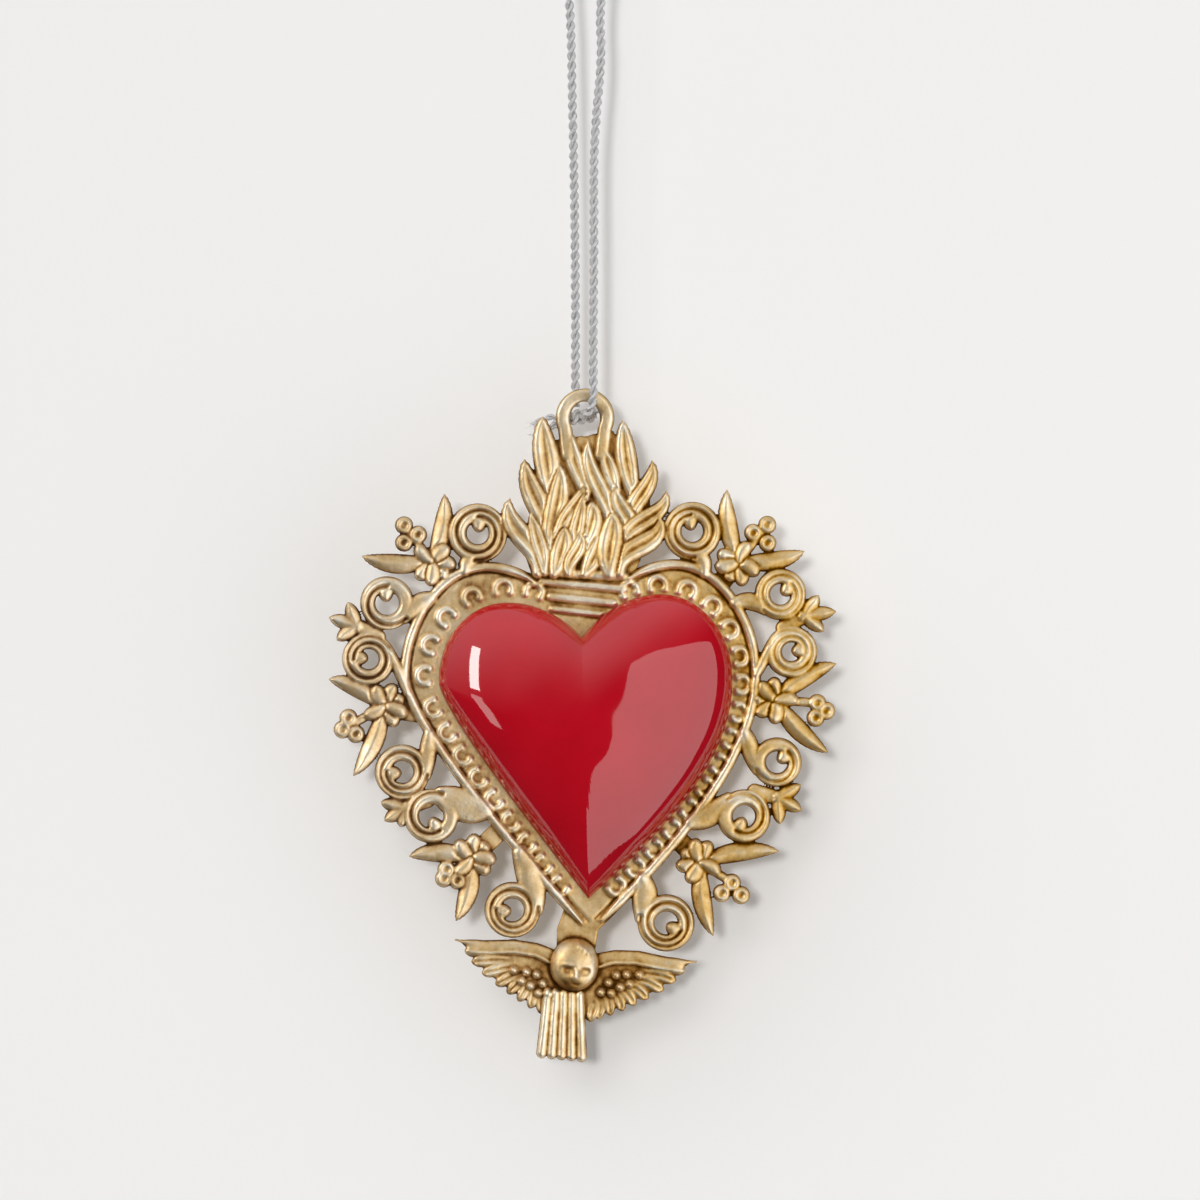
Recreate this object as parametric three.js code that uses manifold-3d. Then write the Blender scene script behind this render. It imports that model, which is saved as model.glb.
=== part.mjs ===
// Enamelled heart ornament: a pierced stamping with a raised heart, a red enamel coat and a tied cord.
// Millimetres, z up, front towards -Y. The origin is the top of the cord loop, where a hook carries it.
// The stamping is drawn flat in x and z from the notch of the heart and rises forward from its back plane.
import * as THREE from "three";
import Module from "manifold-3d";
import { mergeVertices } from "three/addons/utils/BufferGeometryUtils.js";

const wasm = await Module();
wasm.setup();

// Sheet, heart and border band
const sheet = 0.6; // thickness of the sheet
const heartDrop = 39.4; // point of the heart below the notch
const heartLean = 1.4; // degrees, counter-clockwise from the front
const leftHalfWidth = 21.6; // enamelled heart, axis to widest point
const leftLobeRise = 5.3; // top of the lobe above the notch
const leftFullness = 0.15; // of the flank: 0 is a straight one, 1 a full one
const rightHalfWidth = 22.4;
const rightLobeRise = 6.0;
const rightFullness = 1.05;
const domeRise = 7.0; // raised brass heart above the sheet
const leftBand = 5.9; // enamel edge to the outer edge of the border, at the widest point
const rightBand = 4.3;
const leftBandAbove = 6.2; // the same above the lobe
const rightBandAbove = 5.2;
const bandBelow = 6.0; // the same below the point
const borderNotch = 2.2; // notch of the border above the heart's
const leftBorderFullness = 0.3;
const rightBorderFullness = 0.88;
const rimHalfWidth = 0.62; // bead along the outer edge of the border
const rimCrest = 1.3; // heights are measured from the back plane
const curlCrest = 1.15; // C-scrolls of the border
const curlRadius = 1.25;
const curlHalfWidth = 0.6;
const curlHalfSweep = 125; // degrees
const firstCurl = 0.13; // places of the first and last C-scroll, from the notch at 0 to the point at 1
const lastCurl = 0.94;
const leftCurlInset = 2.1; // middle of a C-scroll beyond the enamel edge
const rightCurlInset = 1.35;
const leftCurls = 15;
const rightCurls = 16;

// Enamel coat
const enamelThickness = 0.5;
const enamelGap = 0.3; // clearance between the coat and the brass

// Flame crest and hanging eye
const crestHeight = 32.7; // centre of the eye above the notch
const crestHalfWidth = 12.75;
const eyeOffset = 0.45; // centre of the eye to the right of the notch
const eyeOuterRadius = 4.4;
const eyeHoleHalfWidth = 2.25;
const eyeHoleHalfHeight = 2.6;
const eyeHoleDrop = 0.15; // middle of the hole below the middle of the ring
const eyeCrest = 1.3;
const throughLength = 8; // cutter for the eye's hole
const flameCrest = 1.7;
const collarCrest = 1.4;
const collarHalfWidth = 0.62; // of each rib

// Frieze
const voluteCrest = 1.5;
const coilHalfWidth = 0.6; // ridge of a volute's coil
const coilSegments = 16;
const cuspHalfWidth = 0.75; // inner point of a volute
const leafCrest = 1.35;
const leafHalfWidth = 1.15;
const leafBow = 0.5;
const petalLength = 3.5;
const petalHalfWidth = 1.2;
const stemHalfWidth = 0.7; // berry stem of a spray
const stemCrest = 1.05;
const berryRadius = 1.2;
const berryCrest = 1.5;
const webHalfWidth = 1.5; // flat webs that tie the sprays to the border
const sprigStem = 3.6; // from the base of a trefoil sprig in towards the border
const sprigStemHalfWidth = 1.2;
const leafletHalfWidth = 0.95;

// Winged head
const neckHalfWidth = 3.1; // plate between the point of the heart and the head
const neckShift = 1.6; // sideways to the left, over its upper stretch
const neckDrop = 4.5;
const headDrop = 9.9; // centre of the head below the point of the heart
const headOffset = -2.1;
const headLean = -5.2; // degrees, clockwise from the front
const headHalfWidth = 3.55;
const headHalfHeight = 3.95;
const headCrest = 3.4;
const wingSpan = 18.1; // axis of the head to a wing tip
const featherCrest = 1.4;
const featherHalfWidth = 0.95;
const featherBow = 0.25;
const topFeatherHalfWidth = 0.7; // the long feather along the top of a wing
const topFeatherBow = -0.2;
const dotRadius = 0.55;
const dotCrest = 1.5;
const tailLength = 9.0;
const tailRibs = 5;
const tailTop = -5.4; // below the centre of the head
const tailTopHalfWidth = 0.62; // of each rib
const tailEndHalfWidth = 0.78;

// Cord: the routes of its stretches are points in x, y and z from the top of the loop
const cordDiameter = 1.4;
const eyeDrop = 71.7; // centre of the eye below the top of the loop
const knotRadius = 1.25;
const knotWraps = 4;
const endDiameter = 1.1;
const loopRoute = [ // up the back strand, over the hook and down the front strand
  [-1.45, 2.15, -65.22], [-1.45, 2.15, -62], [-1.45, 1.9, -54], [-1.6, 1.3, -38], [-1.9, 0.5, -24],
  [-2.15, -0.1, -13], [-2.5, -0.5, -7], [-2.8, -0.65, -2.1], [-2.42, -0.65, -0.7], [-1.4, -0.65, 0.32],
  [0, -0.65, 0.7], [1.4, -0.65, 0.32], [2.42, -0.65, -0.7], [2.8, -0.65, -2.1], [2.55, -0.8, -7],
  [2.3, -1.05, -12], [2.42, -1.3, -16.5], [2.2, -1.55, -21], [1.75, -1.85, -26], [1.4, -2.2, -32],
  [1.35, -2.8, -46], [1.25, -3.45, -62], [1.25, -3.45, -65.22],
];
const eyeTurnRoute = [ // in front of the eye's bar, under it and back to the knot
  [1.25, -3.45, -65.87], [1.25, -3.45, -68.35], [0.95, -2.95, -69.95], [0.5, -1.6, -71], [0.3, -0.15, -71.1],
  [0.2, 1, -71.05],
];
const backLegRoute = [[-1.45, 2.15, -65.87], [-1.45, 2.15, -69.95]]; // behind the bar, down to the knot
const knotRoute = [[1.6, 2.6, -71.05], [-4.6, 2.3, -72.05]]; // axis of the knot
const upperEndRoute = [[-4.95, 2.3, -71.45], [-6.5, 2.2, -71.95], [-8.2, 2.1, -72.6]];
const lowerEndRoute = [[-4.9, 2.3, -72.9], [-6.2, 2.2, -73.6], [-7.5, 2.1, -74.7]];

const flat = (x, z) => new THREE.Vector2(x, z);
const radians = THREE.MathUtils.degToRad;
const lerp = THREE.MathUtils.lerp;
const polar = (from, degrees, distance) =>
  flat(from.x + distance * Math.cos(radians(degrees)), from.y + distance * Math.sin(radians(degrees)));

// Solids

function manifoldOf(positions, faces) {
  const mesh = new wasm.Mesh({
    numProp: 3,
    vertProperties: new Float32Array(positions),
    triVerts: new Uint32Array(faces),
  });
  return new wasm.Manifold(mesh);
}

// A closed geometry as a solid that faces outwards.
function solid(geometry) {
  const bare = new THREE.BufferGeometry();
  bare.setAttribute("position", geometry.getAttribute("position"));
  if (geometry.index) {
    bare.setIndex(geometry.index);
  }
  const merged = mergeVertices(bare, 1e-4);
  const corners = merged.index.array;
  const faces = [];
  for (let i = 0; i < corners.length; i += 3) {
    const [a, b, c] = [corners[i], corners[i + 1], corners[i + 2]];
    if (a !== b && b !== c && c !== a) {
      faces.push(a, b, c);
    }
  }
  const positions = merged.attributes.position.array;
  const made = manifoldOf(positions, faces);
  return made.volume() < 0 ? manifoldOf(positions, faces.reverse()) : made;
}

function geometryOf(body) {
  const mesh = body.getMesh();
  const geometry = new THREE.BufferGeometry();
  geometry.setAttribute("position", new THREE.BufferAttribute(mesh.vertProperties, 3));
  geometry.setIndex(new THREE.BufferAttribute(mesh.triVerts, 1));
  geometry.computeVertexNormals();
  return geometry;
}

// Closed rings of points joined in order, with a flat fan over the first and the last.
function skin(rings) {
  const positions = [];
  const faces = [];
  const count = rings[0].length;
  rings.forEach((ring) => ring.forEach((p) => positions.push(p.x, p.y, p.z)));
  for (let r = 0; r + 1 < rings.length; r += 1) {
    for (let i = 0; i < count; i += 1) {
      const next = (i + 1) % count;
      const [a, b] = [r * count + i, r * count + next];
      faces.push(a, b, a + count, b, b + count, a + count);
    }
  }
  const last = (rings.length - 1) * count;
  for (let i = 1; i + 1 < count; i += 1) {
    faces.push(0, i + 1, i, last, last + i, last + i + 1);
  }
  const geometry = new THREE.BufferGeometry();
  geometry.setAttribute("position", new THREE.Float32BufferAttribute(positions, 3));
  geometry.setIndex(faces);
  return geometry;
}

// Sections of a ridge: distance across in half-widths, and level: 0 back plane, 1 edge, 2 crest.
const roofSection = [[-1, 0], [-1, 1], [0, 2], [1, 1], [1, 0]];
const roundSection = [[-1, 0], [-1, 1], [-0.6, 1.8], [0.6, 1.8], [1, 1], [1, 0]];

// A raised bar along a flat curve, on the back plane, with a width and a crest that may change along it.
function ridge(curve, steps, halfWidth, crest, section = roofSection) {
  const rings = [];
  for (let i = 0; i <= steps; i += 1) {
    const t = i / steps;
    const at = curve.getPoint(t);
    const along = curve.getTangent(t);
    const edge = sheet;
    const ring = section.map(([across, level]) => {
      const out = across * halfWidth(t);
      const height = level <= 1 ? level * edge : lerp(edge, Math.max(crest(t), edge + 0.05), level - 1);
      return new THREE.Vector3(at.x - along.y * out, -height, at.y + along.x * out);
    });
    rings.push(ring);
  }
  return solid(skin(rings));
}

const pointWidth = 0.14; // half-width of a ridge where it comes to a point

// A pointed leaf from a base to a tip, bowed sideways, widest at a share of its length.
function leaf(base, tip, halfWidth, crest, bow = 0, widest = 0.45, steps = 5) {
  const across = flat(base.y - tip.y, tip.x - base.x).normalize();
  const middle = base.clone().lerp(tip, 0.5).addScaledVector(across, 2 * bow);
  const curve = new THREE.QuadraticBezierCurve(base, middle, tip);
  const fullness = (t) => (t < widest ? Math.sin((Math.PI / 2) * (0.35 + (0.65 * t) / widest))
    : Math.cos((Math.PI / 2) * ((t - widest) / (1 - widest))));
  const width = (t) => Math.max(pointWidth, halfWidth * fullness(t));
  const height = (t) => sheet + (crest - sheet) * Math.max(0.15, fullness(t));
  return ridge(curve, steps, width, height);
}

// A bar of even width between two points.
function bar(from, to, halfWidth, crest, section = roofSection) {
  return ridge(new THREE.LineCurve(from, to), 1, () => halfWidth, () => crest, section);
}

function plate(points, holes = []) {
  const shape = new THREE.Shape(points);
  shape.holes = holes;
  const geometry = new THREE.ExtrudeGeometry(shape, { depth: sheet, bevelEnabled: false, curveSegments: 10 });
  geometry.rotateX(Math.PI / 2);
  return solid(geometry);
}

// A turned boss on the back plane, from a profile of radius and height.
function boss(at, profile, segments) {
  const points = profile.map(([radius, height]) => flat(radius, -height));
  const geometry = new THREE.LatheGeometry(points, segments);
  geometry.translate(at.x, 0, at.y);
  return solid(geometry);
}

function bead(at, radius, crest, segments = 7) {
  return boss(at, [[0, 0], [radius, 0], [radius, sheet], [0.6 * radius, crest], [0, crest]], segments);
}

function berry(at) {
  const r = berryRadius;
  const rim = berryCrest;
  const pit = lerp(sheet, berryCrest, 0.35);
  return boss(at, [[0, 0], [r, 0], [r, sheet], [0.66 * r, rim], [0, pit]], 7);
}

// Outlines of the heart and of its border

const leanAngle = radians(heartLean);
const notch = flat(0, 0);

// One side of a heart from its notch, at a height, down to its point.
function sideCurve(w, rise, d, fullness, start = 0) {
  const at = (x, z) => flat(x, start + z);
  const lobeTop = at(0.52 * w, rise);
  const widest = at(w, -0.165 * d);
  const upper = at(lerp(0.97, 1.01, fullness) * w, -lerp(0.25, 0.41, fullness) * d);
  const lower = at(lerp(0.48, 0.69, fullness) * w, -lerp(0.62, 0.67, fullness) * d);
  const curve = new THREE.CurvePath();
  curve.add(new THREE.CubicBezierCurve(at(0, 0), at(0.144 * w, 0.61 * rise), at(0.324 * w, rise), lobeTop));
  curve.add(new THREE.CubicBezierCurve(lobeTop, at(0.79 * w, rise), at(w, 0.04 * rise), widest));
  curve.add(new THREE.CubicBezierCurve(widest, upper, lower, at(0, -d)));
  return curve;
}

const heartEdge = {
  left: sideCurve(leftHalfWidth, leftLobeRise, heartDrop, leftFullness),
  right: sideCurve(rightHalfWidth, rightLobeRise, heartDrop, rightFullness),
};
const borderDrop = heartDrop + bandBelow + borderNotch;
const leftBorderRise = leftLobeRise + leftBandAbove - borderNotch;
const rightBorderRise = rightLobeRise + rightBandAbove - borderNotch;
const borderEdge = {
  left: sideCurve(leftHalfWidth + leftBand, leftBorderRise, borderDrop, leftBorderFullness, borderNotch),
  right: sideCurve(rightHalfWidth + rightBand, rightBorderRise, borderDrop, rightBorderFullness, borderNotch),
};

// A point of an edge, from the notch at 0 to the point at 1, moved outwards by an offset.
function edgePoint(edge, side, t, offset) {
  const at = edge[side].getPoint(t);
  const along = edge[side].getTangent(t);
  const x = at.x - along.y * offset;
  return flat(side === "left" ? -x : x, at.y + along.x * offset).rotateAround(notch, leanAngle);
}

// A whole edge as a closed loop of points.
function loopOf(edge, count) {
  const half = (side) => Array.from({ length: count + 1 }, (_, i) => edgePoint(edge, side, i / count, 0));
  return [...half("right"), ...half("left").slice(1, -1).reverse()];
}

const heartCentre = flat(0, -0.415 * heartDrop).rotateAround(notch, leanAngle);
const heartPoint = flat(0, -heartDrop).rotateAround(notch, leanAngle);
const bandLoop = loopOf(borderEdge, 30);

// Distance from the heart's centre to the outer edge of the border on a bearing.
function bandReach(bearing) {
  const ray = polar(flat(0, 0), bearing, 1);
  let reach = 0;
  bandLoop.forEach((p, i) => {
    const q = bandLoop[(i + 1) % bandLoop.length];
    const from = p.clone().sub(heartCentre);
    const edge = q.clone().sub(p);
    const spread = ray.cross(edge);
    const along = from.cross(edge) / spread;
    const share = from.cross(ray) / spread;
    if (along > 0 && share >= 0 && share <= 1) {
      reach = Math.max(reach, along);
    }
  });
  return reach;
}

// A place outside the border: bearing from the heart's centre and distance beyond the border's edge.
const beside = (bearing, beyond) => polar(heartCentre, bearing, bandReach(bearing) + beyond);

// Raised heart

const outlineCount = 15;
const heartOutline = loopOf(heartEdge, outlineCount);
const domeShares = [1, 0.95, 0.85, 0.68, 0.46, 0.22, 0.04];
const domeFullness = (share) => (1 - share ** 2.4) ** 0.62;

// Rings of the raised heart, drawn in from the outline by an inset.
function domeRings(inset, foot, rise) {
  const scale = 1 - inset / rightHalfWidth;
  return domeShares.map((share) => heartOutline.map((p) => {
    const at = heartCentre.clone().lerp(p, scale * share);
    return new THREE.Vector3(at.x, -(foot + rise * domeFullness(share)), at.y);
  }));
}

const brassInset = enamelThickness + enamelGap;

function dome() {
  const outer = domeRings(brassInset, sheet, domeRise);
  const base = outer[0].map((p) => new THREE.Vector3(p.x, 0, p.z));
  return solid(skin([base, ...outer]));
}

function hollow() {
  const inner = domeRings(brassInset + sheet, sheet, domeRise - sheet);
  const mouth = inner[0].map((p) => new THREE.Vector3(p.x, sheet, p.z));
  return solid(skin([mouth, ...inner]));
}

// The space that the coat needs in front of the sheet.
function coatSpace() {
  const edge = domeRings(-enamelGap, sheet, 0)[0];
  const front = edge.map((p) => new THREE.Vector3(p.x, -2 * domeRise, p.z));
  return solid(skin([edge, front]));
}

function enamelCoat() {
  const foot = sheet + enamelGap;
  const outer = domeRings(0, foot, domeRise + enamelThickness);
  const inner = domeRings(enamelThickness, foot, domeRise);
  const base = outer[0].map((p) => p.clone());
  const body = solid(skin([base, ...outer]));
  const mouth = inner[0].map((p) => new THREE.Vector3(p.x, 0, p.z));
  return body.subtract(solid(skin([mouth, ...inner])));
}

// Border with its rim bead and C-scrolls

function rimBead(side) {
  const points = [];
  for (let i = 0; i <= 30; i += 1) {
    const place = edgePoint(borderEdge, side, i / 30, -rimHalfWidth);
    if (Math.abs(place.clone().rotateAround(notch, -leanAngle).x) > rimHalfWidth) {
      points.push(place);
    }
  }
  const curve = new THREE.SplineCurve(points);
  return ridge(curve, 26, () => rimHalfWidth, () => rimCrest);
}

// One C-scroll: an arc that opens towards the heart.
function curl(side, t, inset) {
  const at = edgePoint(heartEdge, side, t, inset);
  const inward = edgePoint(heartEdge, side, t, 0).sub(at);
  const opening = Math.atan2(inward.y, inward.x);
  const half = radians(curlHalfSweep);
  const arc = new THREE.EllipseCurve(at.x, at.y, curlRadius, curlRadius,
    opening + Math.PI - half, opening + Math.PI + half);
  return ridge(arc, 5, () => curlHalfWidth, () => curlCrest);
}

function border() {
  const pieces = [plate(bandLoop), rimBead("left"), rimBead("right")];
  const rows = [["left", leftCurls, leftCurlInset], ["right", rightCurls, rightCurlInset]];
  rows.forEach(([side, count, inset]) => {
    for (let i = 0; i < count; i += 1) {
      pieces.push(curl(side, lerp(firstCurl, lastCurl, i / (count - 1)), inset));
    }
  });
  return pieces;
}

// Flame crest: base and tip of each tongue in shares of the crest's half-width and height, half-width, bow
const tongues = [
  [-0.538, 0.297, -0.868, 0.63, 1.45, 0], [-0.4, 0.29, -0.62, 0.55, 1.2, 0.3],
  [-0.45, 0.538, -0.685, 0.81, 1.35, 0.2], [-0.41, 0.48, -0.26, 0.78, 1.2, 0.5],
  [-0.42, 0.716, -0.485, 1.0, 1.55, -0.3], [-0.06, 0.62, -0.12, 0.9, 1.15, -0.2],
  [0.26, 0.55, 0.08, 0.9, 1.3, 0.5], [0.34, 0.68, 0.24, 0.88, 1.0, 0.3],
  [0.52, 0.727, 0.476, 0.994, 1.2, 0], [-0.27, 0.44, 0.02, 0.69, 1.2, -0.5],
  [0.53, 0.47, 0.4, 0.69, 1.2, 0.3], [0.63, 0.532, 0.81, 0.802, 1.25, -0.1],
  [0.62, 0.41, 0.985, 0.664, 1.4, -0.2], [0.49, 0.32, 0.89, 0.49, 1.35, -0.3],
  [-0.36, 0.29, -0.25, 0.49, 1.15, 0.3], [-0.2, 0.29, -0.04, 0.63, 1.3, 0.4],
  [0.05, 0.38, 0.08, 0.61, 1.15, 0.2], [0.08, 0.29, 0.16, 0.47, 1.1, 0.2],
  [0.28, 0.29, 0.34, 0.57, 1.45, 0.3], [0.45, 0.3, 0.67, 0.51, 1.2, -0.3],
];
const crestOutline = [
  [-0.58, 0.27], [-0.7, 0.4], [-0.6, 0.56], [-0.49, 0.72], [-0.3, 0.9], [0.37, 0.94], [0.6, 0.71],
  [0.8, 0.63], [0.8, 0.5], [0.72, 0.38], [0.6, 0.27], [0.1, -0.01], [-0.1, -0.01],
];
const collarRibs = [[0.245, 0.48], [0.17, 0.38], [0.11, 0.27]]; // height share and half-length share

const onCrest = (across, up) => flat(across * crestHalfWidth, up * crestHeight);
const eyeCentre = flat(eyeOffset, crestHeight);

function eyeRing() {
  const middle = (eyeOuterRadius + eyeHoleHalfWidth) / 2;
  const half = (eyeOuterRadius - eyeHoleHalfWidth) / 2;
  const profile = [[middle - half, 0], [middle + half, 0], [middle + half, 0.5 * sheet],
    [middle + 0.5 * half, eyeCrest], [middle - 0.5 * half, eyeCrest], [middle - half, 0.5 * sheet],
    [middle - half, 0]];
  return boss(eyeCentre, profile, 24);
}

function eyeHole() {
  const geometry = new THREE.CylinderGeometry(1, 1, throughLength, 20);
  geometry.scale(eyeHoleHalfWidth, 1, eyeHoleHalfHeight);
  geometry.translate(eyeCentre.x, 0, eyeCentre.y - eyeHoleDrop);
  return solid(geometry);
}

function crest() {
  const pieces = [plate(crestOutline.map(([across, up]) => onCrest(across, up))), eyeRing()];
  tongues.forEach(([fromAcross, fromUp, toAcross, toUp, halfWidth, bow]) => {
    pieces.push(leaf(onCrest(fromAcross, fromUp), onCrest(toAcross, toUp), halfWidth, flameCrest, bow, 0.4));
  });
  collarRibs.forEach(([up, half]) => {
    const [from, to] = [onCrest(-half, up + 0.015), onCrest(half, up - 0.015)];
    pieces.push(bar(from, to, collarHalfWidth, collarCrest, roundSection));
  });
  return pieces;
}

// Volutes: bearing, distance beyond the border, radius, hole radius, angle where the tang leaves, inward turn
// (1 is counter-clockwise), angle of the inner point, bearing of the tang's end, half-width of the tang
const volutes = [
  [116.8, 4.8, 4.39, 1.72, -95, 1, 90, 124.4, 1.3], [144.3, 4.5, 3.95, 1.85, -40, -1, 90, 136.3, 1.6],
  [158.3, 5.0, 3.9, 1.58, 28, 1, 180, 163.5, 0.9], [188.4, 6.6, 4.05, 1.72, -8, -1, 180, 175.9, 1.4],
  [204.8, 6.4, 4.0, 1.9, 62, 1, -60, 213, 2.6], [246.3, 6.4, 4.12, 1.8, 5, -1, 180, 239, 2.1],
  [63.3, 4.7, 4.31, 1.68, -85, -1, 95, 55.1, 1.3], [37.6, 5.9, 3.8, 1.62, 224, 1, 45, 43.4, 1.4],
  [24.3, 5.0, 3.85, 1.47, 158, -1, 0, 22.4, 0.9], [-5.1, 5.9, 3.65, 1.7, 200, 1, 45, 4.6, 1.5],
  [-24.1, 5.3, 3.95, 1.75, 134, -1, 240, -36, 1.9], [-65.4, 6.9, 4.2, 1.8, 167, 1, -30, -66.7, 2],
];

// The coil: two ridges round the hole with a valley between them.
function coil(centre, radius, hole) {
  const valley = lerp(sheet, voluteCrest, 0.35);
  const profile = [
    [hole, 0], [radius, 0], [radius, sheet], [radius - coilHalfWidth, voluteCrest],
    [(radius + hole) / 2, valley], [hole + 0.8 * coilHalfWidth, voluteCrest], [hole, sheet], [hole, 0],
  ];
  return boss(centre, profile, coilSegments);
}

function volute([bearing, beyond, radius, hole, leave, turn, point, tangBearing, tangHalfWidth]) {
  const centre = beside(bearing, beyond);
  const cuspBase = polar(centre, point, hole + 0.5);
  const cusp = leaf(cuspBase, polar(centre, point, 0.25 * hole), cuspHalfWidth, voluteCrest, 0, 0.2, 3);
  const start = polar(centre, leave, radius - coilHalfWidth);
  const end = beside(tangBearing, -rimHalfWidth);
  const bend = polar(start, leave - turn * 90, 0.55 * start.distanceTo(end));
  const swell = (t) => lerp(coilHalfWidth, tangHalfWidth, Math.sin(Math.PI * lerp(0.15, 0.85, t)));
  const tang = ridge(new THREE.QuadraticBezierCurve(start, bend, end), 4, swell, () => voluteCrest);
  return [coil(centre, radius, hole), cusp, tang];
}

// Leaf sprays: bearing, distance beyond the border, axis, half-angle between the leaves, their two lengths,
// and the berries by distance from the bud and angle from the axis
const sprays = [
  [129.8, 2.9, 127.5, 48, 10.2, 10.4, [[6.9, 0], [4.6, -10], [5.1, 18]]],
  [169, 4.1, 200, 46, 9.2, 11.3, [[7.2, 9], [5.7, -2], [6, 24]]],
  [225.1, 5.4, 217, 38.7, 9.3, 9.6, [[5.2, -1], [4, 20], [4.2, -13]]],
  [50, 3.6, 54, 45, 9.9, 10.8, [[7.05, -2], [4.9, 9], [5.2, -21]]],
  [13.3, 2.7, -7, 38, 11, 10.5, [[6.3, 3], [7.8, -5], [6.6, -17]]],
  [-45.4, 4.1, -36, 44, 11.1, 11.8, [[5.7, 3], [7.9, -3], [5.7, -19]]],
];

function spray([bearing, beyond, axis, spread, clockwiseLength, otherLength, berries]) {
  const bud = beside(bearing, beyond);
  const clockwiseTip = polar(bud, axis - spread, clockwiseLength);
  const otherTip = polar(bud, axis + spread, otherLength);
  const [firstDistance, firstAngle] = berries[0];
  const pieces = [
    leaf(polar(bud, axis - spread, 0.6), clockwiseTip, leafHalfWidth, leafCrest, -leafBow),
    leaf(polar(bud, axis + spread, 0.6), otherTip, leafHalfWidth, leafCrest, leafBow),
    bar(bud, polar(bud, axis + firstAngle, firstDistance - 0.4), stemHalfWidth, stemCrest),
    bar(polar(bud, axis, 0.5), beside(bearing, -1), webHalfWidth, sheet + 0.1),
  ];
  berries.forEach(([distance, angle]) => pieces.push(berry(polar(bud, axis + angle, distance))));
  [-140, -65, 65, 140].forEach((angle) => {
    const petalTip = polar(bud, axis + angle, petalLength);
    pieces.push(leaf(polar(bud, axis + angle, 0.4), petalTip, petalHalfWidth, leafCrest, 0, 0.6, 3));
  });
  return pieces;
}

// Trefoil sprigs: bearing, distance beyond the border, axis, angle between leaflets, and the leaflets'
// lengths, clockwise first
const sprigs = [
  [152.4, 7.7, 163, 53, [3.65, 4.2, 3.55]], [199.3, 9.1, 212, 46, [3.6, 3.5, 2.75]],
  [30.5, 8.1, 8, 46, [3.65, 4.7, 3.65]], [-15.3, 8.4, -28, 58, [3.85, 3.9, 3.85]],
];

function sprig([bearing, beyond, axis, spread, lengths]) {
  const base = beside(bearing, beyond);
  const stem = bar(base, beside(bearing, beyond - sprigStem), sprigStemHalfWidth, stemCrest);
  const leaflets = lengths.map((length, i) => {
    const angle = axis + (i - 1) * spread;
    const root = polar(base, angle + 180, 0.6);
    return leaf(root, polar(base, angle, length), leafletHalfWidth, leafCrest, 0, 0.5, 3);
  });
  return [stem, ...leaflets];
}

// Winged head: feathers, plate and dots of the right wing, across in wing spans and up in mm
const featherTips = [
  [1, 2.1], [0.91, 0.65], [0.845, -0.9], [0.75, -2.5], [0.63, -4], [0.53, -5.1], [0.435, -6.1], [0.335, -7],
  [0.24, -7.7],
];
const featherRoots = [
  [0.35, 1.4], [0.4, 1], [0.44, 0.5], [0.42, -0.3], [0.38, -1.1], [0.33, -1.8], [0.28, -2.5], [0.22, -3],
  [0.15, -3.4],
];
const wingOutline = [
  [0.1, 1.5], [0.21, 1.9], [0.37, 2.75], [0.54, 2.9], [0.72, 2.4], [0.85, 1.7], [0.76, -0.9], [0.62, -2.9],
  [0.42, -4.9], [0.26, -6.2], [0, -6.2],
];
const wingDots = [
  [0.51, -0.7], [0.42, -0.8], [0.33, -1], [0.445, -2.2], [0.355, -2.5], [0.265, -2.4], [0.32, -3.7],
  [0.24, -3.9],
];

const headCentre = flat(heartPoint.x + headOffset, heartPoint.y - headDrop);
const onHead = (x, z) => flat(headCentre.x + x, headCentre.y + z).rotateAround(headCentre, radians(headLean));

function wing(side) {
  const place = ([across, up]) => onHead(side * across * wingSpan, up);
  const pieces = [plate(wingOutline.map(place))];
  featherTips.forEach((tip, i) => {
    const [halfWidth, bow] = i === 0 ? [topFeatherHalfWidth, topFeatherBow] : [featherHalfWidth, featherBow];
    pieces.push(leaf(place(featherRoots[i]), place(tip), halfWidth, featherCrest, side * bow, 0.7, 3));
  });
  wingDots.forEach((dot) => pieces.push(bead(place(dot), dotRadius, dotCrest, 6)));
  return pieces;
}

function face() {
  const geometry = new THREE.SphereGeometry(1, 14, 6, 0, 2 * Math.PI, 0, Math.PI / 2);
  const cap = new THREE.CircleGeometry(1, 14).rotateX(Math.PI / 2);
  const positions = [...geometry.toNonIndexed().attributes.position.array,
    ...cap.toNonIndexed().attributes.position.array];
  const closed = new THREE.BufferGeometry();
  closed.setAttribute("position", new THREE.Float32BufferAttribute(positions, 3));
  closed.rotateX(Math.PI);
  closed.scale(headHalfWidth, headCrest, headHalfHeight);
  closed.rotateY(radians(-headLean));
  closed.translate(headCentre.x, 0, headCentre.y);
  const nose = leaf(onHead(0.1, 0.8), onHead(0.1, -1.2), 0.5, headCrest + 0.5, 0, 0.8, 4);
  const eyes = [-1, 1].map((side) => bead(onHead(side * 1.4, -0.2), 0.6, headCrest, 6));
  return [solid(closed), nose, ...eyes];
}

function tail() {
  const pieces = [];
  for (let i = 0; i < tailRibs; i += 1) {
    const step = i - (tailRibs - 1) / 2;
    const from = onHead(-1.2 + 1.2 * step, tailTop + 1);
    const to = onHead(-0.7 + 1.5 * step, tailTop - tailLength);
    const width = (t) => lerp(tailTopHalfWidth, tailEndHalfWidth, t);
    pieces.push(ridge(new THREE.LineCurve(from, to), 1, width, () => featherCrest));
  }
  return pieces;
}

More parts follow.
